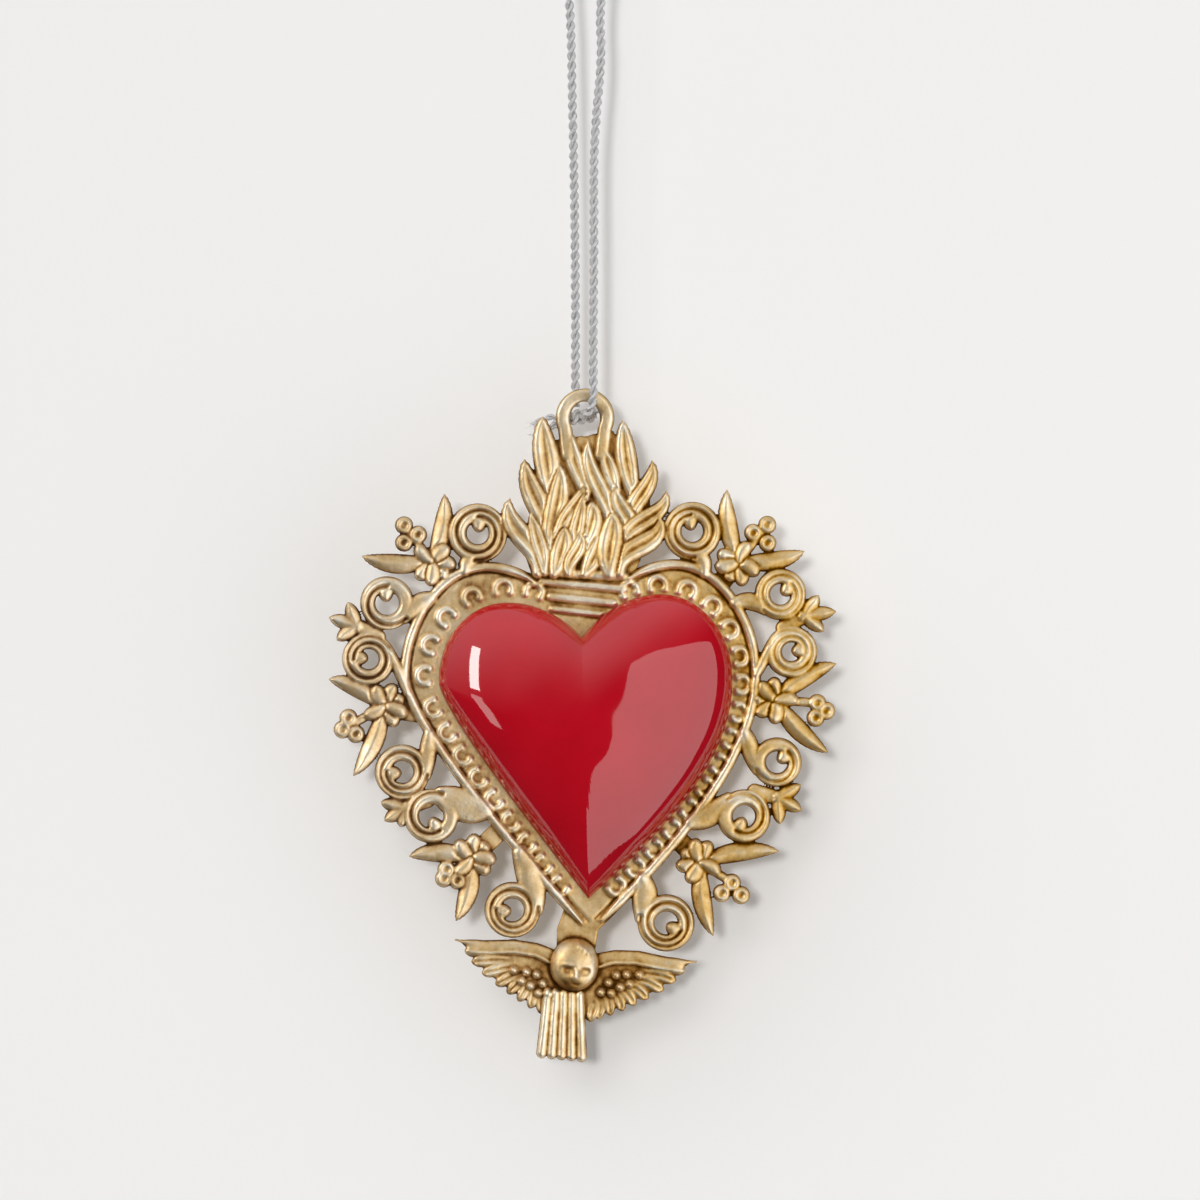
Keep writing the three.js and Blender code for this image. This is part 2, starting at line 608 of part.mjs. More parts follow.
function neck() {
  const low = heartPoint.y - neckDrop;
  return plate([
    flat(heartPoint.x - neckHalfWidth, heartPoint.y), flat(heartPoint.x - neckHalfWidth - neckShift, low),
    onHead(-0.75 * headHalfWidth, 0), onHead(0.75 * headHalfWidth, 0),
    flat(heartPoint.x + neckHalfWidth - neckShift, low), flat(heartPoint.x + neckHalfWidth, heartPoint.y),
  ]);
}

// The stamping

function stamping() {
  const pieces = [
    ...border(), ...crest(), ...volutes.flatMap(volute), ...sprays.flatMap(spray), ...sprigs.flatMap(sprig),
    neck(), ...wing(-1), ...wing(1), ...face(), ...tail(),
  ];
  const relief = wasm.Manifold.union(pieces).subtract(coatSpace());
  return relief.add(dome()).subtract(hollow()).subtract(eyeHole()).asOriginal().simplify(0.02);
}

// Cord

const space = ([x, y, z]) => new THREE.Vector3(x, y, z);
const tubeSides = 8;

// A round tube with flat ends along a route.
function tube(route, diameter, steps) {
  const section = new THREE.Shape();
  for (let i = 0; i < tubeSides; i += 1) {
    const corner = polar(flat(0, 0), (360 * i) / tubeSides, diameter / 2);
    if (i === 0) {
      section.moveTo(corner.x, corner.y);
    } else {
      section.lineTo(corner.x, corner.y);
    }
  }
  const extrudePath = new THREE.CatmullRomCurve3(route.map(space), false, "centripetal");
  return solid(new THREE.ExtrudeGeometry(section, { steps, extrudePath, bevelEnabled: false }));
}

// The knot: a wrapped barrel that lies across the back of the eye.
function knot() {
  const [from, to] = knotRoute.map(space);
  const length = from.distanceTo(to);
  const profile = [flat(0, 0)];
  for (let i = 0; i <= 4 * knotWraps; i += 1) {
    const share = i / (4 * knotWraps);
    const radius = knotRadius * (0.88 + 0.12 * Math.cos(2 * Math.PI * knotWraps * share + Math.PI));
    profile.push(flat(radius, share * length));
  }
  profile.push(flat(0, length));
  const geometry = new THREE.LatheGeometry(profile, 10);
  const along = to.clone().sub(from).normalize();
  geometry.applyQuaternion(new THREE.Quaternion().setFromUnitVectors(new THREE.Vector3(0, 1, 0), along));
  geometry.translate(from.x, from.y, from.z);
  return solid(geometry);
}

// Materials and the finished part

const brass = new THREE.MeshStandardMaterial({ color: 0xb99b5e, metalness: 1, roughness: 0.35 });
const enamel = new THREE.MeshStandardMaterial({ color: 0x9c0616, metalness: 0, roughness: 0.08 });
const silverCord = new THREE.MeshStandardMaterial({ color: 0xc9c9cd, metalness: 0.8, roughness: 0.4 });

const part = new THREE.Group();

function add(name, body, material, place = [0, 0, 0]) {
  const mesh = new THREE.Mesh(geometryOf(body), material);
  mesh.name = name;
  mesh.position.set(...place);
  part.add(mesh);
}

const notchPlace = [-eyeOffset, 0, -eyeDrop - crestHeight];
add("brass_stamping", stamping(), brass, notchPlace);
add("enamel_heart", enamelCoat(), enamel, notchPlace);
add("cord_loop", tube(loopRoute, cordDiameter, 56), silverCord);
add("cord_eye_turn", tube(eyeTurnRoute, cordDiameter, 9), silverCord);
add("cord_back_leg", tube(backLegRoute, cordDiameter, 2), silverCord);
add("cord_knot", knot(), silverCord);
add("cord_upper_end", tube(upperEndRoute, endDiameter, 3), silverCord);
add("cord_lower_end", tube(lowerEndRoute, endDiameter, 3), silverCord);

export default part;
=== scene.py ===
"""Looks of the enamelled heart ornament: stamped brass, enamel, metallic cord, light and camera."""
import math

import bpy
import numpy as np
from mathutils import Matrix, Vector


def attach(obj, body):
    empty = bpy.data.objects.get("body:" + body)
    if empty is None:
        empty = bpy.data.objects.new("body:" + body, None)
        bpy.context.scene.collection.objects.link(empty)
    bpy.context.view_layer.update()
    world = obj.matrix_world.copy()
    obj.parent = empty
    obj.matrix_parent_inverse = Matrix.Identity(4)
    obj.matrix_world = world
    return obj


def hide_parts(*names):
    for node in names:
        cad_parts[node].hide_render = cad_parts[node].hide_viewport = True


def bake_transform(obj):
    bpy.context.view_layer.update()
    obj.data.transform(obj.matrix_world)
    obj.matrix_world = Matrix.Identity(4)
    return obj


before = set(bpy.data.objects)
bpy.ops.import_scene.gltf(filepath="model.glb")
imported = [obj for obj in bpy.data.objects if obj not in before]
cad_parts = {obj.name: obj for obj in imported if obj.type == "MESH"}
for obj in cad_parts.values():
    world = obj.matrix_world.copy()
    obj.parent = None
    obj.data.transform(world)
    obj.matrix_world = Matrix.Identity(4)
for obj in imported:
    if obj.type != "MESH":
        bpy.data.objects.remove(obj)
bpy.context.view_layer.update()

# Units and the drawing plane: the stamping is drawn in millimetres, x to the right and z up, from the
# notch of the heart, and rises towards the viewer, along -Y.
MM = 0.001
GRID = 0.14  # spacing of the stamping's mesh, and the least half-width of a leaf
MARGIN = 0.6  # how far beyond a form the grid is worked on
BLANK = -5.0  # distance inside the cut edge where nothing is drawn
TINY = 1e-9  # stands for nought in a division
NOTCH_X = -0.45
NOTCH_Z = -104.4
DRAWING_LOW = (-39.5, -65.0)
DRAWING_HIGH = (39.0, 38.5)

# Sheet, heart and border; wear makes the patina paler, as painted sheen does on the flames, eye and tail
SHEET = 0.6
HEART_DROP = 39.4
HEART_LEAN = 1.4
CENTRE_DROP = 0.415  # share of the heart's drop
LEFT_HALF_WIDTH = 21.6
LEFT_LOBE_RISE = 5.3
LEFT_FULLNESS = 0.15
RIGHT_HALF_WIDTH = 22.4
RIGHT_LOBE_RISE = 6.0
RIGHT_FULLNESS = 1.05
LEFT_BAND = 5.9
RIGHT_BAND = 4.3
LEFT_BAND_ABOVE = 6.2
RIGHT_BAND_ABOVE = 5.2
BAND_BELOW = 6.0
BAND_WEAR = 0.04
BORDER_NOTCH = 2.2
LEFT_BORDER_FULLNESS = 0.3
RIGHT_BORDER_FULLNESS = 0.88
RIM_HALF_WIDTH = 0.75
RIM_START = 7.1
RIM_END = -43.0
RIM_CREST = 0.7
RIM_TIP = 0.35  # share of the rim's width at its ends
RIM_TAPER = 0.2  # what each point further in adds to that share
RIM_LINE_GAP = 0.12
RIM_LINE_DEPTH = 0.25
RIM_LINE_WIDTH = 0.14
CURLS = {"left": (15, 2.1), "right": (16, 1.35)}  # how many, and how far outside the heart
FIRST_CURL = 0.13  # share of the way along the heart's side
LAST_CURL = 0.94
CURL_CREST = 0.45
CURL_RADIUS = 1.25
CURL_HALF_WIDTH = 0.52
CURL_OPENING = 62  # half of the angle that a curl leaves open
CURL_END_RADIUS = 0.62

# Raised heart and enamel
DOME_RISE = 7.0
DOME_FLATNESS = 2.4
DOME_SHOULDER = 0.62
RING_SHARPNESS = 2.8
ROUNDING = math.radians(24)
ENAMEL_THICKNESS = 0.5
ENAMEL_GAP = 0.3
ENAMEL_RINGS = 90
RING_SPACING = 1.05
COAT = 0.3  # thickness of the coat that is drawn
COAT_WAVES = 0.035

# Flame crest and eye
CREST_HEIGHT = 32.7
CREST_HALF_WIDTH = 12.75
# painted sheen: the crest plate is made paler, standing in for the light it reflects
CREST_PAINTED_SHEEN = 0.07
EYE_OFFSET = 0.45
EYE_OUTER_RADIUS = 4.4
EYE_HOLE_HALF_WIDTH = 2.25
EYE_HOLE_HALF_HEIGHT = 2.6
EYE_HOLE_DROP = 0.15
EYE_ARCH = (-25, 205)
EYE_LEG_SPREAD = 2.5
EYE_LEG_DROP = 5.5
EYE_CREST = 0.6
FLAME_CREST = 1.1
FLAME_FALL = 0.4  # share of its height that a tongue loses towards its tip
TONGUE_FULLNESS = 1.15
TONGUE_WIDEST = 0.5
TONGUE_BLUNT = 0.6
TONGUE_ROOT = 0.3
TONGUE_SWAY = 6.5
TONGUE_WAVE = 0.7
# painted sheen: the tongues and the eye ring are made paler, standing in for the light they reflect
TONGUE_PAINTED_SHEEN = 0.04
TONGUE_SLIT = 0.5
HIDDEN_ROOTS_ABOVE = 0.4
COLLAR_CREST = 0.5
COLLAR_LINE_GAP = 0.15
COLLAR_LINE_DEPTH = 0.12
COLLAR_LINE_WIDTH = 0.2

# Frieze
VOLUTE_CREST = 0.9
VOLUTE_OVERLAP = 0.08
SCROLL_HALF_WIDTH = 0.6
COIL_LEAST_TURN = 200
COIL_STEP = 8
COIL_INNER = 0.3  # where the coil ends, in shares of the ring's breadth
COIL_SPAN = 0.58  # how much farther out it starts
COIL_CLOSING = 1.3
COIL_DEPTH = 0.65
COIL_WORN_BY = 0.35
COIL_WIDTH = 0.3
TANG_BEND = 0.55
TANG_POINTS = 12
CUSP_ROOT = 0.8
CUSP_REACH = 0.2
CUSP_HALF_WIDTH = 1.25
CUSP_BOW = 0.2
CUSP_WIDEST = 0.3
LEAF_CREST = 0.75
LEAF_HALF_WIDTH = 1.5
LEAF_START = 0.6
LEAF_BOW = 0.7
LEAF_WIDEST = 0.45
LEAF_BLUNT = 0.65
LEAFLET_HALF_WIDTH = 1.15
LEAFLET_WIDEST = 0.5
STEM_CREST = 0.45
STEM_HALF_WIDTH = 0.7
BUD_RADIUS = 2.3
BUD_CREST = 0.15
PETAL_CREST = 0.9
PETAL_START = 0.3
PETAL_BOW = 0.3
PETAL_WIDEST = 0.6
BERRY_RADIUS = 1.36
BERRY_CREST = 0.9
WEB_START = 0.5
WEB_LAP = 1.0
WEB_HALF_WIDTH = 1.5
WEB_CREST = 0.1
SPRIG_STEM = 3.6
SPRIG_STEM_HALF_WIDTH = 1.2

# Winged head
NECK_HALF_WIDTH = 3.1
NECK_SHIFT = 1.6
NECK_DROP = 4.5
NECK_FOOT = 0.75  # share of the head's half-width
HEAD_DROP = 9.9
HEAD_OFFSET = -2.1
HEAD_LEAN = -5.2
HEAD_HALF_WIDTH = 3.7
HEAD_HALF_HEIGHT = 4.1
HEAD_CREST = 2.4
HEAD_FLATNESS = 2.7
HEAD_ROOM = 6
FACE_DEPTH = 1.35
FACE_TARNISH = 0.3
HEAD_TARNISH = 0.02
# serves both the painted shade under the chin and the tarnish in the hair
SHADE_TARNISH = 0.16
CHIN_SHADE_BELOW = 1.6
HAIR_SHADE_ABOVE = 2.6
SHADE_SPAN = 1.5
WING_SPAN = 18.1
WING_INSET = 0.6  # how far the wing's plate stops short of the feathers' tips
FIRST_FEATHER_LENGTH = 7
FIRST_FEATHER_HALF_WIDTH = 0.85
FIRST_FEATHER_CREST = 0.4
FEATHER_LENGTH = 2.2
FEATHER_HALF_WIDTH = 0.9
FEATHER_PLATE = 0.15
FEATHER_CREST = 0.5
FEATHER_SPACING = 0.42
LONGEST_BARB = 6.5
SHORTEST_BARB = 2
BARB_START = 0.5
BARB_HALF_WIDTH = 0.36
BARB_BOW = 0.2
BARB_ROOT = 0.2  # share of its height that a barb has at its root
WING_BAND_HALF_WIDTH = 0.95
WING_BAND_CREST = 0.4
WING_LINE_HALF_WIDTH = 0.28
WING_LINE_CREST = 0.6
DOT_RADIUS = 0.67
DOT_CREST = 1.0
DOT_SHIFT_ACROSS = 0.025
DOT_SHIFT_UP = 0.5
TAIL_LENGTH = 9.0
TAIL_CREST = 0.8
# painted sheen: the tail is made paler, standing in for the light it reflects
TAIL_PAINTED_SHEEN = 0.07
TAIL_RIBS = 5
TAIL_TOP = -5.4
TAIL_LAP = 1
RIB_TOP = (-1.2, 1.2)  # place of the middle rib, and spacing of the ribs
RIB_FOOT = (-0.7, 1.5)
RIB_HALF_WIDTHS = (0.68, 0.82)
RIB_END = 0.8
RIB_POINTS = 5

# Finish of the stamping
FRONT_BLUR = 0.15
BACK_BLUR = 0.2
DENT_DEPTH = 0.05
CAVITY_TOP = 1.3  # height above which relief is alike for the patina
CAVITY_BLURS = [(0.11, 1), (0.35, -0.85), (1.0, -0.15)]  # radius and weight
CAVITY_LIMIT = 0.1
# darkens the colour along the cut edge
EDGE_DARKENING = 0.12
EDGE_REACH = 0.25
EDGE_ROUNDING = 0.16
BACK_CAVITY = -0.3
CUT_EDGE_CAVITY = -0.05
LEAST_SLOPE = 0.3

# Cord: points of its route in millimetres, from the top of the loop
CORD_DIAMETER = 1.4
CORD_STEP = 0.22
PATH_STEP = 6  # every so many points of the cord's middle line are returned
TWIST_PITCH = 3.0
PLY_LAY = 0.235  # distance of a ply from the middle, in diameters of the cord
YARN_ALONG = 3.2
YARN_ROUND = 2
BACK_LEG_ROUTE = [(-1.45, 2.15, -69.95), (-1.45, 2.15, -65.87)]
LOOP_ROUTE = [
    (-1.45, 2.15, -65.22), (-1.45, 2.15, -62), (-1.45, 1.9, -54), (-1.6, 1.3, -38), (-1.9, 0.5, -24),
    (-2.15, -0.1, -13), (-2.5, -0.5, -7), (-2.8, -0.65, -2.1), (-2.42, -0.65, -0.7), (-1.4, -0.65, 0.32),
    (0, -0.65, 0.7), (1.4, -0.65, 0.32), (2.42, -0.65, -0.7), (2.8, -0.65, -2.1), (2.55, -0.8, -7),
    (2.3, -1.05, -12), (2.42, -1.3, -16.5), (2.2, -1.55, -21), (1.75, -1.85, -26), (1.4, -2.2, -32),
    (1.35, -2.8, -46), (1.25, -3.45, -62), (1.25, -3.45, -65.22),
]
EYE_TURN_ROUTE = [
    (1.25, -3.45, -65.87), (1.25, -3.45, -68.35), (0.95, -2.95, -69.95), (0.5, -1.6, -71),
    (0.3, -0.15, -71.1), (0.2, 1, -71.05),
]
KNOT_ROUTE = [(1.6, 2.6, -71.05), (-4.6, 2.3, -72.05)]
KNOT_RADIUS = 1.25
KNOT_WRAPS = 5
KNOT_STEP = 0.16
WRAP_POINTS = 20
WRAP_SINK = 0.46  # this and the next two are in diameters of the cord
WRAP_DIAMETER = 0.9
CORE_DIAMETER = 0.95
CORE_OVERHANG = 0.1
CORE_STEP = 0.3
UPPER_END_ROUTE = [(-4.95, 2.3, -71.45), (-6.5, 2.2, -71.95), (-8.2, 2.1, -72.6)]
LOWER_END_ROUTE = [(-4.9, 2.3, -72.9), (-6.2, 2.2, -73.6), (-7.5, 2.1, -74.7)]
END_DIAMETER = 0.99
END_LAP = 0.8
PLIES_STOP = 6  # this and the next two are in points before an end's last one
FRAY_AIM = 8
FRAY_START = 9
FRAY_SEED = 7
FRAY_HAIRS = 16
FRAY_SPREAD = 0.42
FRAY_ROOTS = 0.16
FRAY_LENGTHS = (0.9, 1.7)
FRAY_BEND = 0.09
FRAY_MIDDLE = 0.55
HAIR_RADIUS = 0.06
HAIR_STEP = 0.25
HAIR_TIP = 0.5
HAIR_CORNERS = (0, 2.1, 4.2)  # radians


# Flat geometry

def polar(start, degrees, distance):
    angle = math.radians(degrees)
    return np.array([start[0] + distance * math.cos(angle), start[1] + distance * math.sin(angle)])


def arc(centre, radius, first, last, count):
    """Points on a circle from one angle to another, in degrees."""
    return np.array([polar(centre, angle, radius) for angle in np.linspace(first, last, count)])


def turned(points, pivot, degrees):
    angle = math.radians(degrees)
    turn = np.array([[math.cos(angle), math.sin(angle)], [-math.sin(angle), math.cos(angle)]])
    return (np.asarray(points, float) - pivot) @ turn + pivot


def bezier(points, count):
    """Points along a Bezier curve of any order."""
    share = np.linspace(0, 1, count)[:, None]
    rows = [np.array(p, float) + 0 * share for p in points]
    while len(rows) > 1:
        rows = [a + share * (b - a) for a, b in zip(rows, rows[1:])]
    return rows[0]


def widths(path, half_width):
    """A path with a half-width at each of its points."""
    return np.column_stack([path, np.broadcast_to(half_width, len(path))])


def lengths_along(path):
    """Distance along a path of each of its points."""
    return np.concatenate([[0], np.cumsum(np.linalg.norm(np.diff(path, axis=0), axis=1))])


def evenly(path, count):
    """A path with its points spaced evenly."""
    length = lengths_along(path)
    even = np.linspace(0, length[-1], count)
    return np.column_stack([np.interp(even, length, column) for column in path.T])


def directions(path):
    along = np.gradient(path, axis=0)
    return along / np.linalg.norm(along, axis=1)[:, None]


def to_segment(places, start, end):
    """Share along a segment of the point nearest to each place, and the distance to that point."""
    step = end - start
    along = np.clip((places - start) @ step / max(step @ step, TINY), 0, 1)
    return along, np.linalg.norm(places - start - along[..., None] * step, axis=-1)


# Profiles across a raised form: u is 0 on its middle line and 1 at its edge

def rounded(u):
    return np.sqrt(np.clip(1 - u * u, 0, 1))


def keeled(u):
    return 0.55 * rounded(u) + 0.45 * np.clip(1 - u, 0, 1)


def plump(u):
    return np.sqrt(np.clip(1 - u ** 4, 0, 1))


def cupped(u):
    return rounded(u) * (1 - 0.6 * np.exp(-(u / 0.45) ** 4))


# The relief: height above the sheet and distance inside its cut edge, on a grid over the drawing

class Relief:
    SLIT_WIDTH = 0.3  # share of a bar's half-width
    PRESSED = 0.45  # share of a covering bar's height that what lies under it keeps at most
    CUT_REACH = 4  # widths over which an engraved line fades

    def __init__(self):
        self.x = np.arange(DRAWING_LOW[0], DRAWING_HIGH[0], GRID)
        self.z = np.arange(DRAWING_LOW[1], DRAWING_HIGH[1], GRID)
        self.inside = np.full((len(self.z), len(self.x)), BLANK)
        self.height = np.zeros_like(self.inside)
        # tarnish and wear of the brass, with painted shade and painted sheen, as shifts of the patina
        self.tarnish_and_painted_light = np.zeros_like(self.inside)
        self.lines = []

    def window(self, points, margin):
        """The part of the grid round some points, and the places there."""
        low = np.min(points, axis=0) - margin
        high = np.max(points, axis=0) + margin
        columns = slice(*np.searchsorted(self.x, (low[0], high[0])))
        rows = slice(*np.searchsorted(self.z, (low[1], high[1])))
        places = np.stack(np.meshgrid(self.x[columns], self.z[rows]), axis=-1)
        return (rows, columns), places

    def raise_to(self, part, inside, height):
        self.inside[part] = np.maximum(self.inside[part], inside)
        self.height[part] = np.maximum(self.height[part], height)

    # pales the patina: real wear on the border and neck, painted sheen on the flames, eye and tail
    def wear(self, part, where, wear_and_sheen):
        if wear_and_sheen:
            self.tarnish_and_painted_light[part] = np.where(where, -wear_and_sheen, self.tarnish_and_painted_light[part])

    def ridge(self, path, crest, profile=rounded, covers=False, wear_and_sheen=0.0, slit=0.0):
        """A raised bar along a path of x, z and half-width; crest may be a function of the share along it.

        A bar that covers presses down what lies under it; wear makes one paler on the border, painted sheen
        makes one paler on the flames, eye and tail; and a slit runs along its middle.
        """
        part, places = self.window(path[:, :2], path[:, 2].max() + MARGIN)
        across = np.full(places.shape[:2], np.inf)
        inside = np.full(places.shape[:2], -np.inf)
        share = np.zeros(places.shape[:2])
        for i in range(len(path) - 1):
            along, gap = to_segment(places, path[i, :2], path[i + 1, :2])
            half = path[i, 2] + along * (path[i + 1, 2] - path[i, 2])
            nearer = gap / half < across
            across = np.where(nearer, gap / half, across)
            share = np.where(nearer, (i + along) / (len(path) - 1), share)
            inside = np.maximum(inside, half - gap)
        top = crest(share) if callable(crest) else crest
        if covers:
            pressed = np.minimum(self.height[part], self.PRESSED * top)
            self.height[part] = np.where(inside > 0, pressed, self.height[part])
        self.wear(part, inside > 0, wear_and_sheen)
        hollow = slit * np.exp(-(across / self.SLIT_WIDTH) ** 2) * np.sin(np.pi * share)
        self.raise_to(part, inside, top * profile(across) - hollow)

    def bead(self, at, radius, crest, profile=rounded):
        part, places = self.window([at], radius + MARGIN)
        gap = np.linalg.norm(places - at, axis=-1)
        self.raise_to(part, radius - gap, crest * profile(gap / radius))

    def plate(self, points, wear_and_sheen=0.0):
        """A flat piece of sheet with a straight-sided outline; wear makes one paler, and painted sheen pales
        the flame crest.
        """
        points = np.asarray(points)
        part, places = self.window(points, MARGIN)
        gap = np.full(places.shape[:2], np.inf)
        odd = np.zeros(places.shape[:2], bool)
        for a, b in zip(points, np.roll(points, -1, axis=0)):
            gap = np.minimum(gap, to_segment(places, a, b)[1])
            crosses = (a[1] > places[..., 1]) != (b[1] > places[..., 1])
            reach = a[0] + (places[..., 1] - a[1]) / (b[1] - a[1] or TINY) * (b[0] - a[0])
            odd ^= crosses & (places[..., 0] < reach)
        self.wear(part, odd, wear_and_sheen)
        self.raise_to(part, np.where(odd, gap, -gap), 0)

    def engrave(self, path, depth, width):
        """A line along a path, cut once all the raised forms are drawn."""
        self.lines.append((path, depth, width))

    def cut_lines(self):
        for path, depth, width in self.lines:
            part, places = self.window(path, self.CUT_REACH * width)
            gap = np.full(places.shape[:2], np.inf)
            for a, b in zip(path, path[1:]):
                gap = np.minimum(gap, to_segment(places, a, b)[1])
            self.height[part] -= depth * np.exp(-(gap / width) ** 2)

    def pierce(self, at, half_width, half_height):
        part, places = self.window([at], max(half_width, half_height) + MARGIN)
        reach = np.hypot((places[..., 0] - at[0]) / half_width, (places[..., 1] - at[1]) / half_height)
        self.inside[part] = np.minimum(self.inside[part], (reach - 1) * min(half_width, half_height))


CONTROL_REACH = 1.33  # how far a curve's control points stand out, in bows
ROOT_FULLNESS = 0.35
LEAF_POINTS = 14


def leaf_path(base, tip, half_width, bow, widest, blunt=0.75, sway=0.0):
    """Path of a leaf, bowed to its left, widest at a share of its length.

    A low value of blunt rounds its tip, and sway bends its lower half to the left and its upper half to
    the right.
    """
    base, tip = np.asarray(base), np.asarray(tip)
    across = np.array([base[1] - tip[1], tip[0] - base[0]]) / np.linalg.norm(tip - base)
    lower = base + (tip - base) / 3 + (CONTROL_REACH * bow + sway) * across
    upper = base + (tip - base) * 2 / 3 + (CONTROL_REACH * bow - sway) * across
    path = bezier([base, lower, upper, tip], LEAF_POINTS)
    share = np.linspace(0, 1, LEAF_POINTS)
    rise = np.sin(np.pi / 2 * (ROOT_FULLNESS + (1 - ROOT_FULLNESS) * share / widest))
    fall = np.abs(np.cos(np.pi / 2 * (share - widest) / (1 - widest))) ** blunt
    fullness = np.where(share < widest, rise, fall)
    return widths(path, np.maximum(GRID, half_width * fullness))


# Heart and border outlines

NOTCH = np.zeros(2)
CURVE_POINTS = 200
OWN_SIDE = 0.02  # least distance of a side's points from the middle line


def side_curve(half_width, rise, drop, fullness):
    """Right side of a heart from its notch to its point, evenly spaced along its length.

    Its points and control points are in shares of the half-width, and of the rise or the drop.
    """
    lobe = (0.52 * half_width, rise)
    widest = (half_width, -0.165 * drop)
    upper = ((0.97 + 0.04 * fullness) * half_width, -(0.25 + 0.16 * fullness) * drop)
    lower = ((0.48 + 0.21 * fullness) * half_width, -(0.62 + 0.05 * fullness) * drop)
    curve = np.vstack([
        bezier([(0, 0), (0.144 * half_width, 0.61 * rise), (0.324 * half_width, rise), lobe], CURVE_POINTS),
        bezier([lobe, (0.79 * half_width, rise), (half_width, 0.04 * rise), widest], CURVE_POINTS)[1:],
        bezier([widest, upper, lower, (0, -drop)], 2 * CURVE_POINTS)[1:],
    ])
    return evenly(curve, 3 * CURVE_POINTS + 1)


HEART = {
    "left": side_curve(LEFT_HALF_WIDTH, LEFT_LOBE_RISE, HEART_DROP, LEFT_FULLNESS),
    "right": side_curve(RIGHT_HALF_WIDTH, RIGHT_LOBE_RISE, HEART_DROP, RIGHT_FULLNESS),
}
BORDER_DROP = HEART_DROP + BAND_BELOW + BORDER_NOTCH
LEFT_BORDER_RISE = LEFT_LOBE_RISE + LEFT_BAND_ABOVE - BORDER_NOTCH
RIGHT_BORDER_RISE = RIGHT_LOBE_RISE + RIGHT_BAND_ABOVE - BORDER_NOTCH
BORDER = {
    "left": side_curve(LEFT_HALF_WIDTH + LEFT_BAND, LEFT_BORDER_RISE, BORDER_DROP, LEFT_BORDER_FULLNESS),
    "right": side_curve(RIGHT_HALF_WIDTH + RIGHT_BAND, RIGHT_BORDER_RISE, BORDER_DROP, RIGHT_BORDER_FULLNESS),
}
for curve in BORDER.values():
    curve[:, 1] += BORDER_NOTCH


def outline(sides, side, offset, share=None):
    """Points of one side, moved outwards; all of them, or those at given shares of its length."""
    curve = sides[side]
    along = directions(curve)
    moved = curve + offset * np.column_stack([-along[:, 1], along[:, 0]])
    if share is not None:
        places = np.asarray(share) * (len(curve) - 1)
        moved = np.column_stack([np.interp(places, np.arange(len(curve)), column) for column in moved.T])
    else:
        moved = moved[moved[:, 0] > OWN_SIDE]
    if side == "left":
        moved = moved * (-1, 1)
    return turned(moved, NOTCH, HEART_LEAN)


def loop_of(sides):
    return np.vstack([outline(sides, "right", 0), outline(sides, "left", 0)[::-1]])


HEART_CENTRE = turned([(0, -CENTRE_DROP * HEART_DROP)], NOTCH, HEART_LEAN)[0]
HEART_POINT = turned([(0, -HEART_DROP)], NOTCH, HEART_LEAN)[0]


def bearings_of(loop):
    """Bearing in radians and distance of a loop's points from the heart's centre, by rising bearing."""
    out = loop - HEART_CENTRE
    bearing = np.arctan2(out[:, 1], out[:, 0])
    order = np.argsort(bearing)
    return bearing[order], np.linalg.norm(out, axis=1)[order]


BORDER_LOOP = loop_of(BORDER)
BORDER_BEARINGS, BORDER_REACH = bearings_of(BORDER_LOOP)


def beside(bearing, beyond):
    """A place by its bearing from the heart's centre and its distance beyond the border's edge."""
    reach = np.interp(math.radians(bearing), BORDER_BEARINGS, BORDER_REACH, period=2 * math.pi)
    return polar(HEART_CENTRE, bearing, reach + beyond)


# Raised heart: each ring is the outline drawn in, rounder towards the middle

HEART_BEARINGS, HEART_REACH = bearings_of(loop_of(HEART))
FINE_BEARINGS = np.linspace(-math.pi, math.pi, 1441)
SETTLING_ROUNDS = 6


def outline_reach(bearing):
    return np.interp(bearing, HEART_BEARINGS, HEART_REACH, period=2 * math.pi)


def soft_reach(bearing):
    """The outline's distance from the centre, averaged over nearby bearings."""
    spread = np.linspace(-2, 2, 33)
    weights = np.exp(-spread ** 2)
    total = sum(w * outline_reach(bearing + s * ROUNDING) for s, w in zip(spread, weights))
    return total / weights.sum()


def ring_reach(sharp, soft, share):
    return soft + (sharp - soft) * share ** RING_SHARPNESS


def dome_fullness(share):
    return (1 - np.clip(share, 0, 1) ** DOME_FLATNESS) ** DOME_SHOULDER


def dome_share(places, inset):
    """Share of the way from the heart's centre to its outline, less an inset, at each place."""
    out = places - HEART_CENTRE
    distance = np.linalg.norm(out, axis=-1)
    bearing = np.arctan2(out[..., 1], out[..., 0])
    sharp = np.interp(bearing, FINE_BEARINGS, outline_reach(FINE_BEARINGS))
    soft = np.interp(bearing, FINE_BEARINGS, soft_reach(FINE_BEARINGS))
    scale = 1 - inset / RIGHT_HALF_WIDTH
    share = distance / (sharp * scale)
    for _ in range(SETTLING_ROUNDS):
        share = distance / (ring_reach(sharp, soft, np.clip(share, 0, 1)) * scale)
    return share


# Border: every few points of its outline are enough for the plate and the rim

PLATE_STEP = 6
RIM_STEP = 8


